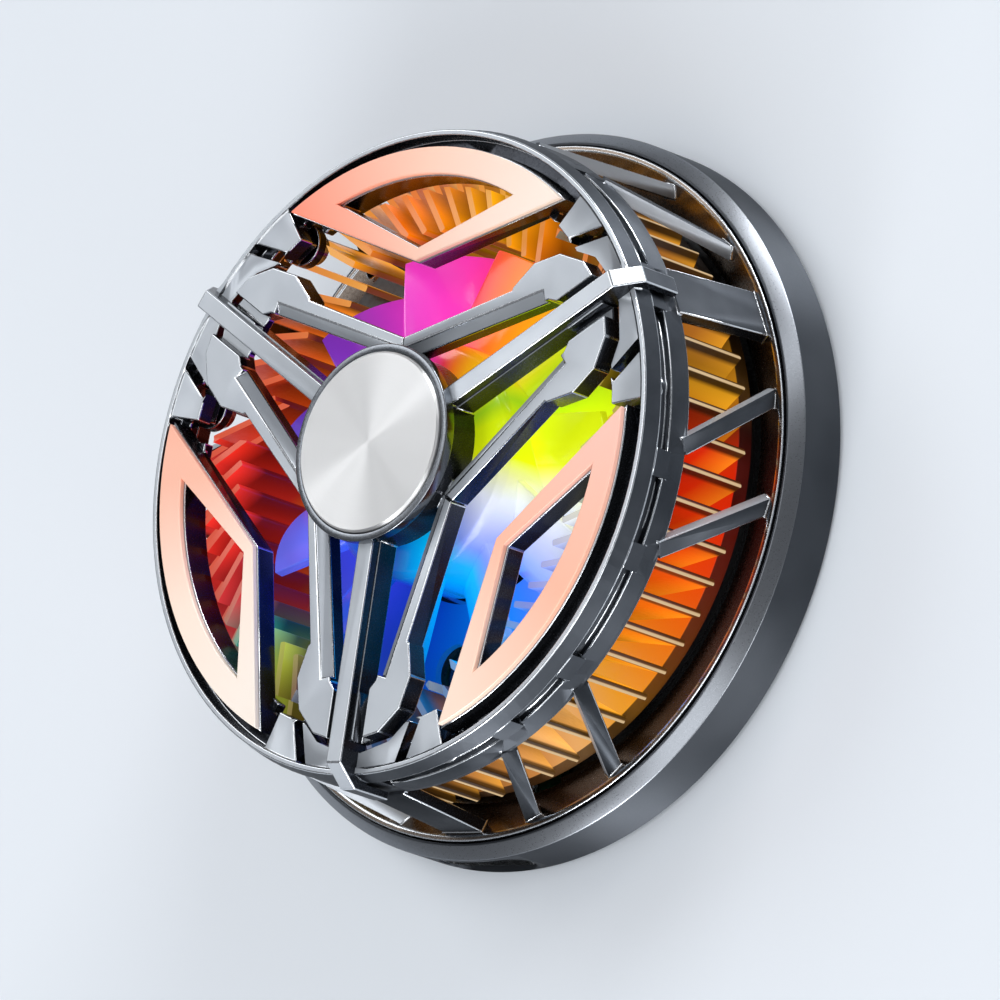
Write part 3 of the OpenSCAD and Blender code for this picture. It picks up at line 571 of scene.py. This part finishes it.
def lathe(name, outline, material):
    """A closed outline of (radius, height) in millimetres, turned round the axis."""
    bm = bmesh.new()
    uv = bm.loops.layers.uv.new("turned")
    count = len(outline)
    rings = []
    for i in range(TURNS):
        turn = math.tau * i / TURNS
        rings.append([bm.verts.new((r * math.cos(turn) * MM, r * math.sin(turn) * MM, z * MM))
                      for r, z in outline])
    for i in range(TURNS):
        here, there = rings[i], rings[(i + 1) % TURNS]
        for k in range(count):
            m = (k + 1) % count
            face = bm.faces.new((here[k], there[k], there[m], here[m]))
            face.smooth = True
            for loop, (u, v) in zip(face.loops, ((i, k), (i + 1, k), (i + 1, k + 1), (i, k + 1))):
                loop[uv].uv = (u / TURNS, v / count)
    bmesh.ops.remove_doubles(bm, verts=bm.verts[:], dist=SLIVER * MM)
    bmesh.ops.dissolve_degenerate(bm, dist=SLIVER * MM, edges=bm.edges[:])
    bmesh.ops.recalc_face_normals(bm, faces=bm.faces[:])
    mesh = bpy.data.meshes.new(name)
    bm.to_mesh(mesh)
    bm.free()
    mesh.set_sharp_from_angle(angle=FLAT_LIMIT)
    mesh.materials.append(material)
    piece = new_piece(name, mesh)
    print(name, len(mesh.polygons), "faces")
    return piece


# %% [markdown]
# Holes that a lathe can't make are milled on the real piece. Here a boolean takes a closed cutter out
# of the mesh, one cutter at a time, and the exact solver keeps clean edges where faces meet.

# %% Cutting
def prism(name, outline, axis, low, high):
    """A closed prism: outline points in the plane across the axis, all in millimetres."""
    bm = bmesh.new()
    order = {"Y": (0, 2, 1), "Z": (0, 1, 2)}[axis]
    ends = []
    for level in (low, high):
        ring = []
        for a, b in outline:
            point = [0.0, 0.0, 0.0]
            for slot, value in zip(order, (a, b, level)):
                point[slot] = value * MM
            ring.append(bm.verts.new(point))
        ends.append(ring)
    bm.faces.new(ends[0])
    bm.faces.new(ends[1])
    for k in range(len(outline)):
        m = (k + 1) % len(outline)
        bm.faces.new((ends[0][k], ends[0][m], ends[1][m], ends[1][k]))
    bmesh.ops.recalc_face_normals(bm, faces=bm.faces[:])
    mesh = bpy.data.meshes.new(name)
    bm.to_mesh(mesh)
    bm.free()
    return new_piece(name, mesh)


def cut(piece, cutter):
    """Takes the cutter's shape out of the piece, and drops the cutter."""
    boolean = piece.modifiers.new("cut", "BOOLEAN")
    boolean.object = cutter
    boolean.solver = "EXACT"
    applied(piece)
    bpy.data.objects.remove(cutter)


def circle(radius, x=0.0, y=0.0, steps=32):
    return [(x + radius * math.cos(math.tau * k / steps), y + radius * math.sin(math.tau * k / steps))
            for k in range(steps)]


# %% [markdown]
# The base is a gunmetal ring, turned and lacquered dark. The bevel round its top was cut last, so it
# is a smoother metal, paler partly as a painted highlight along it. Bands of light down a turned wall need
# strong anisotropy.

# %% Base metals
base_metal = finish("turned_gunmetal", "#4C5056", metallic=1.0, roughness=0.5, Anisotropic=0.95)
turned(base_metal)
grain(base_metal, 0.25, 0.46, 0.54, 0.001, (1, 1, 8))
blotches(base_metal, 9, "#484C52", "#54585E")
bevel_metal = finish("turned_bevel", "#7A7E84", metallic=1.0, roughness=0.3)
grain(bevel_metal, 0.12, 0.26, 0.34, 0.001)
print("base metals", base_metal.name, bevel_metal.name)

# %% [markdown]
# Its floor holds the magnets and has a groove for the grip ring, and a shoulder inside carries the
# cage. All of this is one outline on the lathe. The faces of the bevel are picked by how they look up.

# %% Base
base_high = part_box("base_housing")[1]
base_r = base_high.x / MM
base_top = base_high.z / MM
BASE_INNER_R = 27.2
SHOULDER_R = 26.5
SHOULDER_Z = 3.2
BORE_R = 21.5
FLOOR_Z = 1.0
GRIP_R = (22.8, 26.4)
GRIP_DEPTH = 0.4
BASE_BEVEL = 0.95
FOOT_BEVEL = 0.35
CORNER = 0.1

base_outline = softened([
    (BORE_R, 0), (GRIP_R[0], 0), (GRIP_R[0], GRIP_DEPTH), (GRIP_R[1], GRIP_DEPTH), (GRIP_R[1], 0),
    (base_r - FOOT_BEVEL, 0), (base_r, FOOT_BEVEL), (base_r, base_top - BASE_BEVEL),
    (base_r - BASE_BEVEL, base_top), (BASE_INNER_R, base_top), (BASE_INNER_R, SHOULDER_Z),
    (SHOULDER_R, SHOULDER_Z), (SHOULDER_R, FLOOR_Z), (BORE_R, FLOOR_Z)], CORNER)
base = lathe("turned_base", base_outline, base_metal)
# Bevel faces take the paler metal, partly a painted highlight.
base.data.materials.append(bevel_metal)
for face in base.data.polygons:
    if 0.3 < face.normal.z < 0.95 and face.center.xy.length > BASE_INNER_R * MM:
        face.material_index = 1

# %% [markdown]
# The mouth takes the plug of the power lead. It is a stadium: two half circles joined by straight
# sides, cut through the wall.

# %% Mouth of the base
MOUTH_W = 9.14
MOUTH_H = 3.36
MOUTH_Z = 2.18
ARC_STEPS = 16
MOUTH_FROM = base_r + 1
MOUTH_TO = BORE_R - 0.5
straight = (MOUTH_W - MOUTH_H) / 2
mouth = [(side * straight + MOUTH_H / 2 * math.sin(turn), MOUTH_Z - side * MOUTH_H / 2 * math.cos(turn))
         for side in (1, -1) for turn in [side * math.pi * k / ARC_STEPS for k in range(ARC_STEPS + 1)]]
cut(base, prism("mouth", mouth, "Y", -MOUTH_FROM, -MOUTH_TO))
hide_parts("base_housing")
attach(base, "cooler_body")
print("base", len(base.data.polygons), "faces with its mouth")

# %% [markdown]
# The cap is spun aluminium: the same lathe and a paler metal. Its grooves are noise over the radius
# alone, so light gathers in wedges that meet at its centre.

# %% Cap
def rings(material, pitch, depth, low, high):
    """Fine concentric lines: noise over the radius alone."""
    noise = add(material, "ShaderNodeTexNoise", {
        "W": around(material)[0], "Scale": 1 / (pitch * MM), "Detail": 3.0},
        noise_dimensions="1D").outputs[0]
    feed(material, remap(material, noise, *NOISE_SPAN, low, high), "Roughness")
    bump = add(material, "ShaderNodeBump", {"Height": noise, "Strength": 0.3, "Distance": depth * MM})
    feed(material, bump.outputs[0], "Normal")


cap_low, cap_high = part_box("cap_disc")
CAP_EDGE = 0.15
CAP_MIDDLE_R = 2
cap_r, cap_bottom, cap_top = cap_high.x / MM, cap_low.z / MM, cap_high.z / MM
spun = finish("spun_aluminium", "#D6D7D8", metallic=1.0, roughness=0.4, Anisotropic=0.92)
turned(spun)
rings(spun, 0.12, 0.0004, 0.37, 0.43)
cap = lathe("spun_cap", [
    (0, cap_bottom), (cap_r, cap_bottom), (cap_r, cap_top - CAP_EDGE), (cap_r - CAP_EDGE, cap_top),
    (CAP_MIDDLE_R, cap_top), (0, cap_top)], spun)
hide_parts("cap_disc")
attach(cap, "cooler_body")

# %% [markdown]
# A thin ring of dark chrome holds the cap. It is a lathe piece with well rounded edges, because a
# chrome edge shows as one bright line.

# %% Ring round the cap
BEZEL_GAP = 0.05
BEZEL_ROUND = 0.14
bezel_low, bezel_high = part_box("cap_bezel")
bezel_r, bezel_top = bezel_high.x / MM, bezel_high.z / MM
chrome = finish("dark_chrome", "#74787E", metallic=1.0, roughness=0.2)
grain(chrome, 0.2, 0.14, 0.26, 0.002)
bezel = lathe("chrome_ring", softened([
    (cap_r + BEZEL_GAP, bezel_low.z / MM), (bezel_r, bezel_low.z / MM), (bezel_r, bezel_top),
    (cap_r + BEZEL_GAP, bezel_top)], BEZEL_ROUND), chrome)
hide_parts("cap_bezel")
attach(bezel, "cooler_body")

# %% [markdown]
# Sixty equal fins are work for Geometry Nodes: one fin with rounded edges, set at every step of the
# circle and turned by its index. The numbers are inputs of the tree, so another cooler can reuse it.

# %% A tree that grows a ring
KINDS = {int: "NodeSocketInt", float: "NodeSocketFloat", bpy.types.Material: "NodeSocketMaterial"}


def new_tree(name, values):
    """A geometry tree with one named input for each value."""
    tree = bpy.data.node_groups.new(name, "GeometryNodeTree")
    tree.interface.new_socket("Geometry", in_out="OUTPUT", socket_type="NodeSocketGeometry")
    for label, value in values.items():
        tree.interface.new_socket(label, in_out="INPUT", socket_type=KINDS[type(value)])
    return tree, tree.nodes.new("NodeGroupInput").outputs


def grown(name, tree, values):
    """A plain mesh grown by the tree, with its inputs set by their identifiers."""
    piece = new_piece(name, bpy.data.meshes.new(name))
    modifier = piece.modifiers.new("grow", "NODES")
    modifier.node_group = tree
    for item in tree.interface.items_tree:
        if item.in_out == "INPUT":
            modifier[item.identifier] = values[item.name]
    return applied(piece)


def tree_math(tree, operation, *values):
    return add_to(tree, "ShaderNodeMath", dict(enumerate(values)), operation=operation).outputs[0]


def ring_of(tree, inputs, shape):
    """Ends a tree: the shape set round the axis, made real, with its material."""
    points = add_to(tree, "GeometryNodePoints", {"Count": inputs["Count"]}).outputs[0]
    index = add_to(tree, "GeometryNodeInputIndex").outputs[0]
    turn = tree_math(tree, "MULTIPLY", index, tree_math(tree, "DIVIDE", math.tau, inputs["Count"]))
    about = add_to(tree, "ShaderNodeCombineXYZ", {2: turn}).outputs[0]
    ring = add_to(tree, "GeometryNodeInstanceOnPoints", {
        "Points": points, "Instance": shape, "Rotation": about})
    real = add_to(tree, "GeometryNodeRealizeInstances", {0: ring.outputs[0]}).outputs[0]
    dressed = add_to(tree, "GeometryNodeSetMaterial", {"Geometry": real, "Material": inputs["Material"]})
    add_to(tree, "NodeGroupOutput", {0: dressed.outputs[0]})


# %% [markdown]
# The fins are swept back from the radius, and the lamps below light them: amber and red on the
# right, gold at the top, red on the left. Light that comes up from below is slow to trace, so it is
# painted into the finish as colour and glow, with darker stops as painted shade: one ramp round the
# axis for their sides and one for their tops.

# %% Fin colours
FIN_COUNT = 60
FIN_T = 0.5
FIN_IN_R = 17.5
FIN_R = 24.3
FIN_SWEEP = math.radians(37)
sink_low, sink_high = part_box("heatsink")
fin_top = sink_high.z / MM
SINK_TOP = 6.5
SINK_R = 23.6
NOTCH_Z = 13.7

lit_fins = finish("lit_fins", "#F06010", roughness=0.35)
# Painted lamp light on the fin sides; the darkest stops are painted shade.
painted_side_light = ring_of_colours(lit_fins, [
    (-100, "#3A2012"), (-85, "#A06834"), (-70, "#D8904C"), (-60, "#F8B870"), (-48, "#FCA820"),
    (-38, "#FA8C10"), (-28, "#F86C08"), (-18, "#F44408"), (-8, "#E82806"), (2, "#E02408"),
    (10, "#9A280C"), (16, "#F0A820"), (24, "#A86420"), (45, "#C07828"), (65, "#D89030"),
    (90, "#FFB420"), (112, "#FF9414"), (130, "#FFA030"), (150, "#F86418"), (175, "#F02C18"),
    (200, "#F03028"), (214, "#D03A40"), (222, "#48A898"), (230, "#B0C040"), (240, "#5A3018")])
# Painted lamp light on the fin tops.
PAINTED_TOP_LIGHT = [
    (-66, "#0890E0"), (-50, "#20A8F8"), (-38, "#6C8CFF"), (-26, "#B4C0FF"), (-14, "#F4F8E8"),
    (-4, "#E0E830"), (30, "#A05C10"), (55, "#F07808"), (75, "#FFB010"), (90, "#FF8C00"),
    (105, "#FF7400"), (125, "#FFA810"), (150, "#F04E18"), (175, "#F02C18"), (200, "#F03028"),
    (214, "#D03A40"), (224, "#30B0A0"), (234, "#B0C040"), (245, "#5A3018")]
painted_top_light = ring_of_colours(lit_fins, PAINTED_TOP_LIGHT)
print("fins", FIN_COUNT, "up to", round(fin_top, 2), "mm")

# %% [markdown]
# The painted glow fades towards the axis and upwards, as painted shade deep between the fins and under
# the band, and a slow noise round the axis makes each fin a little different. A painted shadow line just
# inside the outer edge sets the fins apart from each other, and the very edge, half as wide as a fin,
# gets a painted highlight.

# %% Where the fins glow
PAINTED_SHADOW_SPAN = (FIN_R - 0.75, FIN_R - 0.4)
PAINTED_HIGHLIGHT_SPAN = (FIN_R - 0.02, FIN_R + 0.03)
DEEP = (FIN_IN_R, FIN_R - 1.5)
NOISE_PER_FIN = 0.8
PAINTED_HIGHLIGHT_GLOW = 0.55
fin_radius, fin_height = around(lit_fins)


def over_radius(ends, first, second):
    return remap(lit_fins, fin_radius, ends[0] * MM, ends[1] * MM, first, second)


def over_height(low, high, first, second):
    return remap(lit_fins, fin_height, low * MM, high * MM, first, second)


def combined(operation, first, second):
    return math_node(lit_fins, operation, first, second)


each = add(lit_fins, "ShaderNodeTexNoise", {
    "W": polar_turn(lit_fins), "Scale": NOISE_PER_FIN * FIN_COUNT, "Detail": 0.0},
    noise_dimensions="1D").outputs[0]
uneven = remap(lit_fins, each, *NOISE_SPAN, 0.65, 1.2)
# Painted shadow: the glow drops to a tenth in a thin line just inside the outer edge.
painted_shadow_line = over_radius(PAINTED_SHADOW_SPAN, 1.0, 0.08)
# Painted highlight: the outermost half of each fin's end glows pale.
painted_edge_highlight = over_radius(PAINTED_HIGHLIGHT_SPAN, 0.0, 1.0)
# Painted shade: the glow is weaker deep in and higher up the sides.
side_glow = combined("MULTIPLY", over_radius(DEEP, 0.2, 0.95), over_height(SINK_TOP, NOTCH_Z, 1.0, 0.55))
upper_glow = over_height(NOTCH_Z + 0.2, fin_top, 0.0, 0.9)
glow = combined("MULTIPLY", combined("MAXIMUM", side_glow, upper_glow), uneven)
shaded = combined("MULTIPLY", glow, painted_shadow_line)
feed(lit_fins, combined("MAXIMUM", shaded, combined("MULTIPLY", painted_edge_highlight, PAINTED_HIGHLIGHT_GLOW)), "Emission Strength")
print("fin glow from", FIN_IN_R, "to", FIN_R, "mm")

# %% [markdown]
# The colours are mixed by height: those of the sides turn into those of the tops at the notches, and
# near the lamps they turn to amber, a painted pool of lamp light. The base colour is a darker cast of
# the same painted light, near black in the painted shadow line and cream at the painted highlight.

# %% Fin tints
BODY_SHADE = "#545454"
AMBER_RISE = 3.5
to_tops = over_height(NOTCH_Z - 0.8, NOTCH_Z + 0.6, 0.0, 1.0)
both_colours = mix(lit_fins, to_tops, painted_side_light, painted_top_light)
# Painted pool of amber lamp light, strongest at the plate.
painted_amber_pool = over_height(SINK_TOP, SINK_TOP + AMBER_RISE, 0.4, 0.0)
warm = mix(lit_fins, painted_amber_pool, both_colours, "#FFB424")
# Painted highlight colour on the outermost edge.
fin_tint = mix(lit_fins, painted_edge_highlight, warm, "#FFDCA8")
feed(lit_fins, fin_tint, "Emission Color")
body = mix(lit_fins, 1.0, fin_tint, BODY_SHADE, "MULTIPLY")
outside_shadow_line = combined("MAXIMUM", painted_shadow_line, painted_edge_highlight)
# Base colour near black inside the painted shadow line.
feed(lit_fins, mix(lit_fins, outside_shadow_line, "#120804", body), "Base Color")
grain(lit_fins, 0.4, 0.28, 0.42, 0.003)

# The tops glow with the same painted lamp light, paled towards cream.
lit_tops = finish("lit_fin_tops", "#FFB050", roughness=0.35, Emission_Strength=0.75)
tops_tint = mix(lit_tops, 0.15, ring_of_colours(lit_tops, PAINTED_TOP_LIGHT), "#FFE0B0")
feed(lit_tops, tops_tint, "Emission Color")
feed(lit_tops, mix(lit_tops, 1.0, tops_tint, BODY_SHADE, "MULTIPLY"), "Base Color")
grain(lit_tops, 0.4, 0.28, 0.42, 0.003)
print("fin finishes", lit_fins.name, lit_tops.name)

# %% [markdown]
# One fin starts as a flat strip with rounded ends. It leaves the inner circle at the sweep angle, and
# the tree works out from the two radii how far it has to run to reach the outer circle, so the ring
# still closes when another cooler has other sizes.

# %% The foot of one fin
FIN_SINK = 0.02
FIN_EDGE = 0.12
FILLET_STEPS = 3
fin_values = {
    "Count": FIN_COUNT, "Thickness": FIN_T * MM, "Inner radius": FIN_IN_R * MM,
    "Outer radius": FIN_R * MM, "Sweep": FIN_SWEEP, "Bottom": (SINK_TOP - FIN_SINK) * MM,
    "Top": fin_top * MM, "Edge": FIN_EDGE * MM, "Material": lit_fins}
fin_tree, fin_in = new_tree("fin_ring", fin_values)


def fin_node(kind, inputs=None, **settings):
    return add_to(fin_tree, kind, inputs, **settings).outputs[0]


def fin_math(operation, *values):
    return tree_math(fin_tree, operation, *values)


lean = fin_math("MULTIPLY", fin_in["Inner radius"], fin_math("COSINE", fin_in["Sweep"]))
outer_square = fin_math("POWER", fin_in["Outer radius"], 2.0)
rest = fin_math("SUBTRACT", outer_square, fin_math("POWER", fin_in["Inner radius"], 2.0))
run = fin_math("SUBTRACT", fin_math("SQRT", fin_math("MULTIPLY_ADD", lean, lean, rest)), lean)
strip = fin_node("GeometryNodeCurvePrimitiveQuadrilateral", {"Width": run, "Height": fin_in["Thickness"]})
soft = add_to(fin_tree, "GeometryNodeFilletCurve", {"Curve": strip, "Radius": fin_in["Edge"]})
soft.mode = "POLY"
soft.inputs["Count"].default_value = FILLET_STEPS
half = fin_node("ShaderNodeCombineXYZ", {0: fin_math("DIVIDE", run, 2.0)})
shifted = fin_node("GeometryNodeTransform", {"Geometry": soft.outputs[0], "Translation": half})
inner = fin_node("ShaderNodeCombineXYZ", {0: fin_in["Inner radius"]})
swept = fin_node("ShaderNodeCombineXYZ", {2: fin_in["Sweep"]})
outline = fin_node("GeometryNodeTransform", {"Geometry": shifted, "Translation": inner, "Rotation": swept})
foot = fin_node("GeometryNodeFillCurve", {0: outline}, mode="NGONS")
print("nodes for a foot", len(fin_tree.nodes))

# %% [markdown]
# The foot is raised to a closed solid and set round the axis. Filling a curve drops it to height
# zero, so the fin is lifted to its plate only after that.

# %% The ring of fins
JOIN = 0.002
height = fin_math("SUBTRACT", fin_in["Top"], fin_in["Bottom"])
up = fin_node("ShaderNodeCombineXYZ", {2: height})
raised = fin_node("GeometryNodeExtrudeMesh", {"Mesh": foot, "Offset": up, "Offset Scale": 1.0})
under = fin_node("GeometryNodeFlipFaces", {0: foot})
both = add_to(fin_tree, "GeometryNodeJoinGeometry")
fin_tree.links.new(raised, both.inputs[0])
fin_tree.links.new(under, both.inputs[0])
closed = fin_node("GeometryNodeMergeByDistance", {"Geometry": both.outputs[0], "Distance": JOIN * MM})
lift = fin_node("ShaderNodeCombineXYZ", {2: fin_in["Bottom"]})
standing = fin_node("GeometryNodeTransform", {"Geometry": closed, "Translation": lift})
ring_of(fin_tree, fin_in, standing)
fins = grown("lit_fins", fin_tree, fin_values)
print("fins", len(fins.data.polygons), "faces, from", SINK_TOP, "to", round(fin_top, 2))

# %% [markdown]
# The fins stand highest under the trims. They stop lower outside, under the arms and under the heads
# of the grille screws. A milling cutter would leave these steps, and here booleans cut them. What
# looks up afterwards gets the finish of the tops.

# %% Cuts in the fins
ARM_ANGLES = (30, 150, 270)
ARM_GAP = 21.5
SCREW_TURN = 18.5
SCREW_ANGLES = [arm + side * SCREW_TURN for arm in ARM_ANGLES for side in (-1, 1)]
SCREW_GAP = 6.0
BAND_FIN_Z = 15.3
HIGH_FIN_R = 20.9
SECTOR_R = (10, 35)
CUTTER_R = 30
CUTTER_TOP = 20
LOOKS_UP = 0.9


def spoke(degrees, radius):
    return radius * math.cos(math.radians(degrees)), radius * math.sin(math.radians(degrees))


def sector(middle, half, low):
    """A cutter for everything above a height in one sector of the fins."""
    near, far = SECTOR_R
    outline = [spoke(middle + turn, radius) for turn, radius in (
        (-half, near), (-half, far), (half, far), (half, near))]
    return prism("sector", outline, "Z", low, fin_top + 1)


for angle in ARM_ANGLES:
    cut(fins, sector(angle, ARM_GAP, BAND_FIN_Z))
for angle in SCREW_ANGLES:
    cut(fins, sector(angle, SCREW_GAP, NOTCH_Z))
rim_cutter = lathe("rim_cutter", [
    (HIGH_FIN_R, BAND_FIN_Z), (CUTTER_R, BAND_FIN_Z), (CUTTER_R, CUTTER_TOP), (HIGH_FIN_R, CUTTER_TOP)],
    lit_fins)
cut(fins, rim_cutter)
fins.data.materials.append(lit_tops)
for face in fins.data.polygons:
    if face.normal.z > LOOKS_UP:
        face.material_index = len(fins.data.materials) - 1
print("fins", len(fins.data.polygons), "faces after the cuts")

# %% [markdown]
# The plate that the fins stand on gets painted lamp light too: their colours inside the ring of fins,
# and painted amber light and near-black painted shade in the gaps between them. Only its upper side glows.

# %% Plate finish
LAMP_COLOURS = [
    (0, "#C8D020"), (45, "#E0A020"), (80, "#E03850"), (120, "#C030A8"), (160, "#5828A0"),
    (210, "#4858D0"), (250, "#0848B8"), (290, "#0098E0"), (325, "#8090E8"), (345, "#D8E0F0")]
GAP_LIGHT_AND_SHADE = [
    (-100, "#0A0502"), (-85, "#8A5A2C"), (-70, "#D8904C"), (-60, "#F8B870"), (-48, "#FCA820"),
    (-38, "#FA8C10"), (-28, "#F86C08"), (-18, "#F44408"), (-8, "#E82806"), (2, "#E02408"),
    (10, "#7A200A"), (18, "#C88418"), (30, "#140A04"), (150, "#140604"), (180, "#2A0804"),
    (240, "#0A0502")]
PLATE_SHADE = "#606060"
UPPER_SIDE = (SINK_TOP - 0.15, SINK_TOP - 0.05)
lit_plate = finish("lit_plate", "#241408", roughness=0.4)
plate_radius, plate_height = around(lit_plate)
inside = remap(lit_plate, plate_radius, (FIN_IN_R - 1) * MM, FIN_IN_R * MM, 1.0, 0.0)
# Painted light and shade between the fins: amber where the lamps reach, near black elsewhere.
gaps = ring_of_colours(lit_plate, GAP_LIGHT_AND_SHADE)
# Painted lamp light inside the ring of fins.
plate_tint = mix(lit_plate, inside, gaps, ring_of_colours(lit_plate, LAMP_COLOURS))
above = remap(lit_plate, plate_height, UPPER_SIDE[0] * MM, UPPER_SIDE[1] * MM, 0.02, 1.0)
feed(lit_plate, plate_tint, "Emission Color")
feed(lit_plate, mix(lit_plate, 1.0, plate_tint, PLATE_SHADE, "MULTIPLY"), "Base Color")
plate_glow = remap(lit_plate, inside, 0.0, 1.0, 0.75, 0.8)
feed(lit_plate, math_node(lit_plate, "MULTIPLY", plate_glow, above), "Emission Strength")
grain(lit_plate, 0.3, 0.32, 0.48, 0.003)
print("plate finish", lit_plate.name)

# %% [markdown]
# The plate itself is a plain disc from the lathe, with four holes for the clamp screws. Together with
# the fins it stands for the heatsink of the part.

# %% Plate
CLAMP_HEAD_R = 1.9
CLAMP_HOLE_R = 1.1
sink_bottom = sink_low.z / MM
sink = lathe("sink_plate", [
    (0, sink_bottom), (SINK_R, sink_bottom), (SINK_R, SINK_TOP), (0, SINK_TOP)], lit_plate)
clamp_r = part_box("clamp_screws")[1].x / MM - CLAMP_HEAD_R
for angle in (0, 90, 180, 270):
    hole = circle(CLAMP_HOLE_R, *spoke(angle, clamp_r))
    cut(sink, prism("hole", hole, "Z", sink_bottom - 1, SINK_TOP + 1))
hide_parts("heatsink")
for piece in (fins, sink):
    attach(piece, "cooler_body")
print("heatsink", len(fins.data.polygons) + len(sink.data.polygons), "faces")

# %% [markdown]
# The fan is glossy clear plastic, so the lamps below it run from blade to blade as one rainbow. The
# twist of the blades comes from the solids, so the fan is a bevelled copy. That rainbow is painted lamp
# light, as base colour and glow round the axis, and a clear coat gives the gloss of moulded plastic.

# %% Fan
FAN_BEVEL = 0.12
FAN_GLOW = 0.6
lit_fan = finish("lit_fan", "#E8F510", roughness=0.2, Coat_Weight=0.4, Coat_Roughness=0.08)
# Painted lamp light: the blades' colour and glow.
painted_fan_light = ring_of_colours(lit_fan, [
    (0, "#E8F510"), (20, "#D4EE10"), (30, "#A0D020"), (38, "#C8D818"), (48, "#F5C010"),
    (62, "#F8A818"), (72, "#F87820"), (80, "#F03C50"), (95, "#F03CC0"), (118, "#D838C0"),
    (138, "#8034B8"), (160, "#6830B0"), (180, "#6068E8"), (205, "#6070F0"), (225, "#2858E0"),
    (245, "#1050C8"), (262, "#0848B8"), (275, "#0890E0"), (288, "#00B4F8"), (300, "#20B8F8"),
    (312, "#8098F0"), (324, "#B4BEF0"), (338, "#DCE2F2"), (350, "#E8ECB8")])
feed(lit_fan, painted_fan_light, "Base Color")
feed(lit_fan, painted_fan_light, "Emission Color")
shader_of(lit_fan).inputs["Emission Strength"].default_value = FAN_GLOW
grain(lit_fan, 0.5, 0.16, 0.26, 0.002)
fan = bevelled_copy("lit_fan", "impeller", FAN_BEVEL, (lit_fan,), lambda face: lit_fan)
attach(fan, "rotor")

# %% [markdown]
# What lies inside or under the cooler keeps its CAD shape, and only gets a finish. First comes the
# diffuser, a frosted ring above the lamps that glows a little in their colours; its base colour carries
# the same colours as painted lamp light.

# %% The diffuser
DIFFUSER_GLOW = 0.35
frosted = finish("frosted_diffuser", "#E8E4DC", roughness=0.6)
diffuser_lamp_light = ring_of_colours(frosted, LAMP_COLOURS)
# Glow of the lamps through the diffuser, and the same colours painted into its base colour.
feed(frosted, diffuser_lamp_light, "Base Color")
feed(frosted, diffuser_lamp_light, "Emission Color")
shader_of(frosted).inputs["Emission Strength"].default_value = DIFFUSER_GLOW
grain(frosted, 0.15, 0.5, 0.68, 0.004)


def dress(material, *names):
    """Puts a finish on CAD nodes that keep their shape."""
    for name in names:
        for slot in nodes[name].material_slots:
            slot.material = material
    print(material.name, "on", ", ".join(names))


dress(frosted, "light_diffuser")

# %% [markdown]
# The metals inside differ by how they were made. The cold plate is brushed along one direction, the
# stator is a stack of thin sheets with wire wound round it, magnets are plated with nickel, and the
# bush is pressed from bronze powder. Colour, roughness and a stretched grain are enough for each.

# %% Metals inside
def metal(name, color, low, high, size=0.2, stretch=(1, 1, 1)):
    """A metal whose roughness runs from low to high over grains of a size in millimetres."""
    material = finish(name, color, metallic=1.0, roughness=(low + high) / 2)
    grain(material, size, low, high, 0.002, stretch)
    return material


dress(metal("brushed_plate", "#B9BDC1", 0.22, 0.42, 0.3, (1, 14, 1)), "cold_plate")
dress(metal("nickel", "#B5B2AA", 0.14, 0.24), "ring_magnets")
dress(metal("zinc_steel", "#9A9DA0", 0.25, 0.42, 0.6), "magnet_yoke", "rotor_yoke")
dress(metal("bright_steel", "#C4C6C8", 0.12, 0.24), "usb_shell", "fan_shaft", "shaft_clip")
dress(metal("screw_steel", "#84878B", 0.2, 0.34), "clamp_screws", "motor_screws", "grille_screws")
dress(metal("laminations", "#6F7275", 0.3, 0.5, 0.12, (1, 1, 20)), "stator_core")
dress(metal("windings", "#B8683C", 0.22, 0.4, 0.12, (1, 1, 12)), "stator_coils")
dress(metal("sintered_bronze", "#9C7440", 0.4, 0.6, 0.08), "bearing_bush")
dress(metal("pellet_alloy", "#77797D", 0.35, 0.55, 0.1), "tec_pellets")

# %% [markdown]
# The rest is not metal: a soft silicone ring, moulded plastic, varnished boards, fired ceramic, foam,
# insulated wire, pressed ferrite and the lenses of the lamps, which are the only ones that shine.

# %% Other materials inside
def moulded(name, color, low, high, size=0.15, depth=0.004, **settings):
    """A finish without metal, with grains of a size and a depth in millimetres."""
    material = finish(name, color, roughness=(low + high) / 2, **settings)
    grain(material, size, low, high, depth)
    return material


dress(moulded("silicone", "#1C1E21", 0.62, 0.8, 0.1), "grip_ring")
dress(moulded("black_plastic", "#17181A", 0.35, 0.55), "usb_tongue", "motor_base", "board_chips")
board = moulded("circuit_board", "#123A26", 0.25, 0.4, 0.3)
blotches(board, 1.2, "#0F3421", "#17472F")
dress(board, "inlet_board", "control_board")
dress(moulded("ceramic", "#E2E0DA", 0.4, 0.55, 0.08), "tec_cold_ceramic", "tec_hot_ceramic")
dress(moulded("foam", "#2A2B2D", 0.85, 0.95, 0.25, 0.05), "foam_gasket")
dress(moulded("wire_red", "#B01A14", 0.3, 0.45, 0.3), "lead_wires")
dress(moulded("ferrite", "#2E2D2C", 0.5, 0.7), "rotor_magnet")
lamp = moulded("lamp_lens", "#F4F4EE", 0.2, 0.3, Emission_Strength=1.0)
shader_of(lamp).inputs["Emission Color"].default_value = srgb("#FFFBEF")
dress(lamp, "rgb_leds")
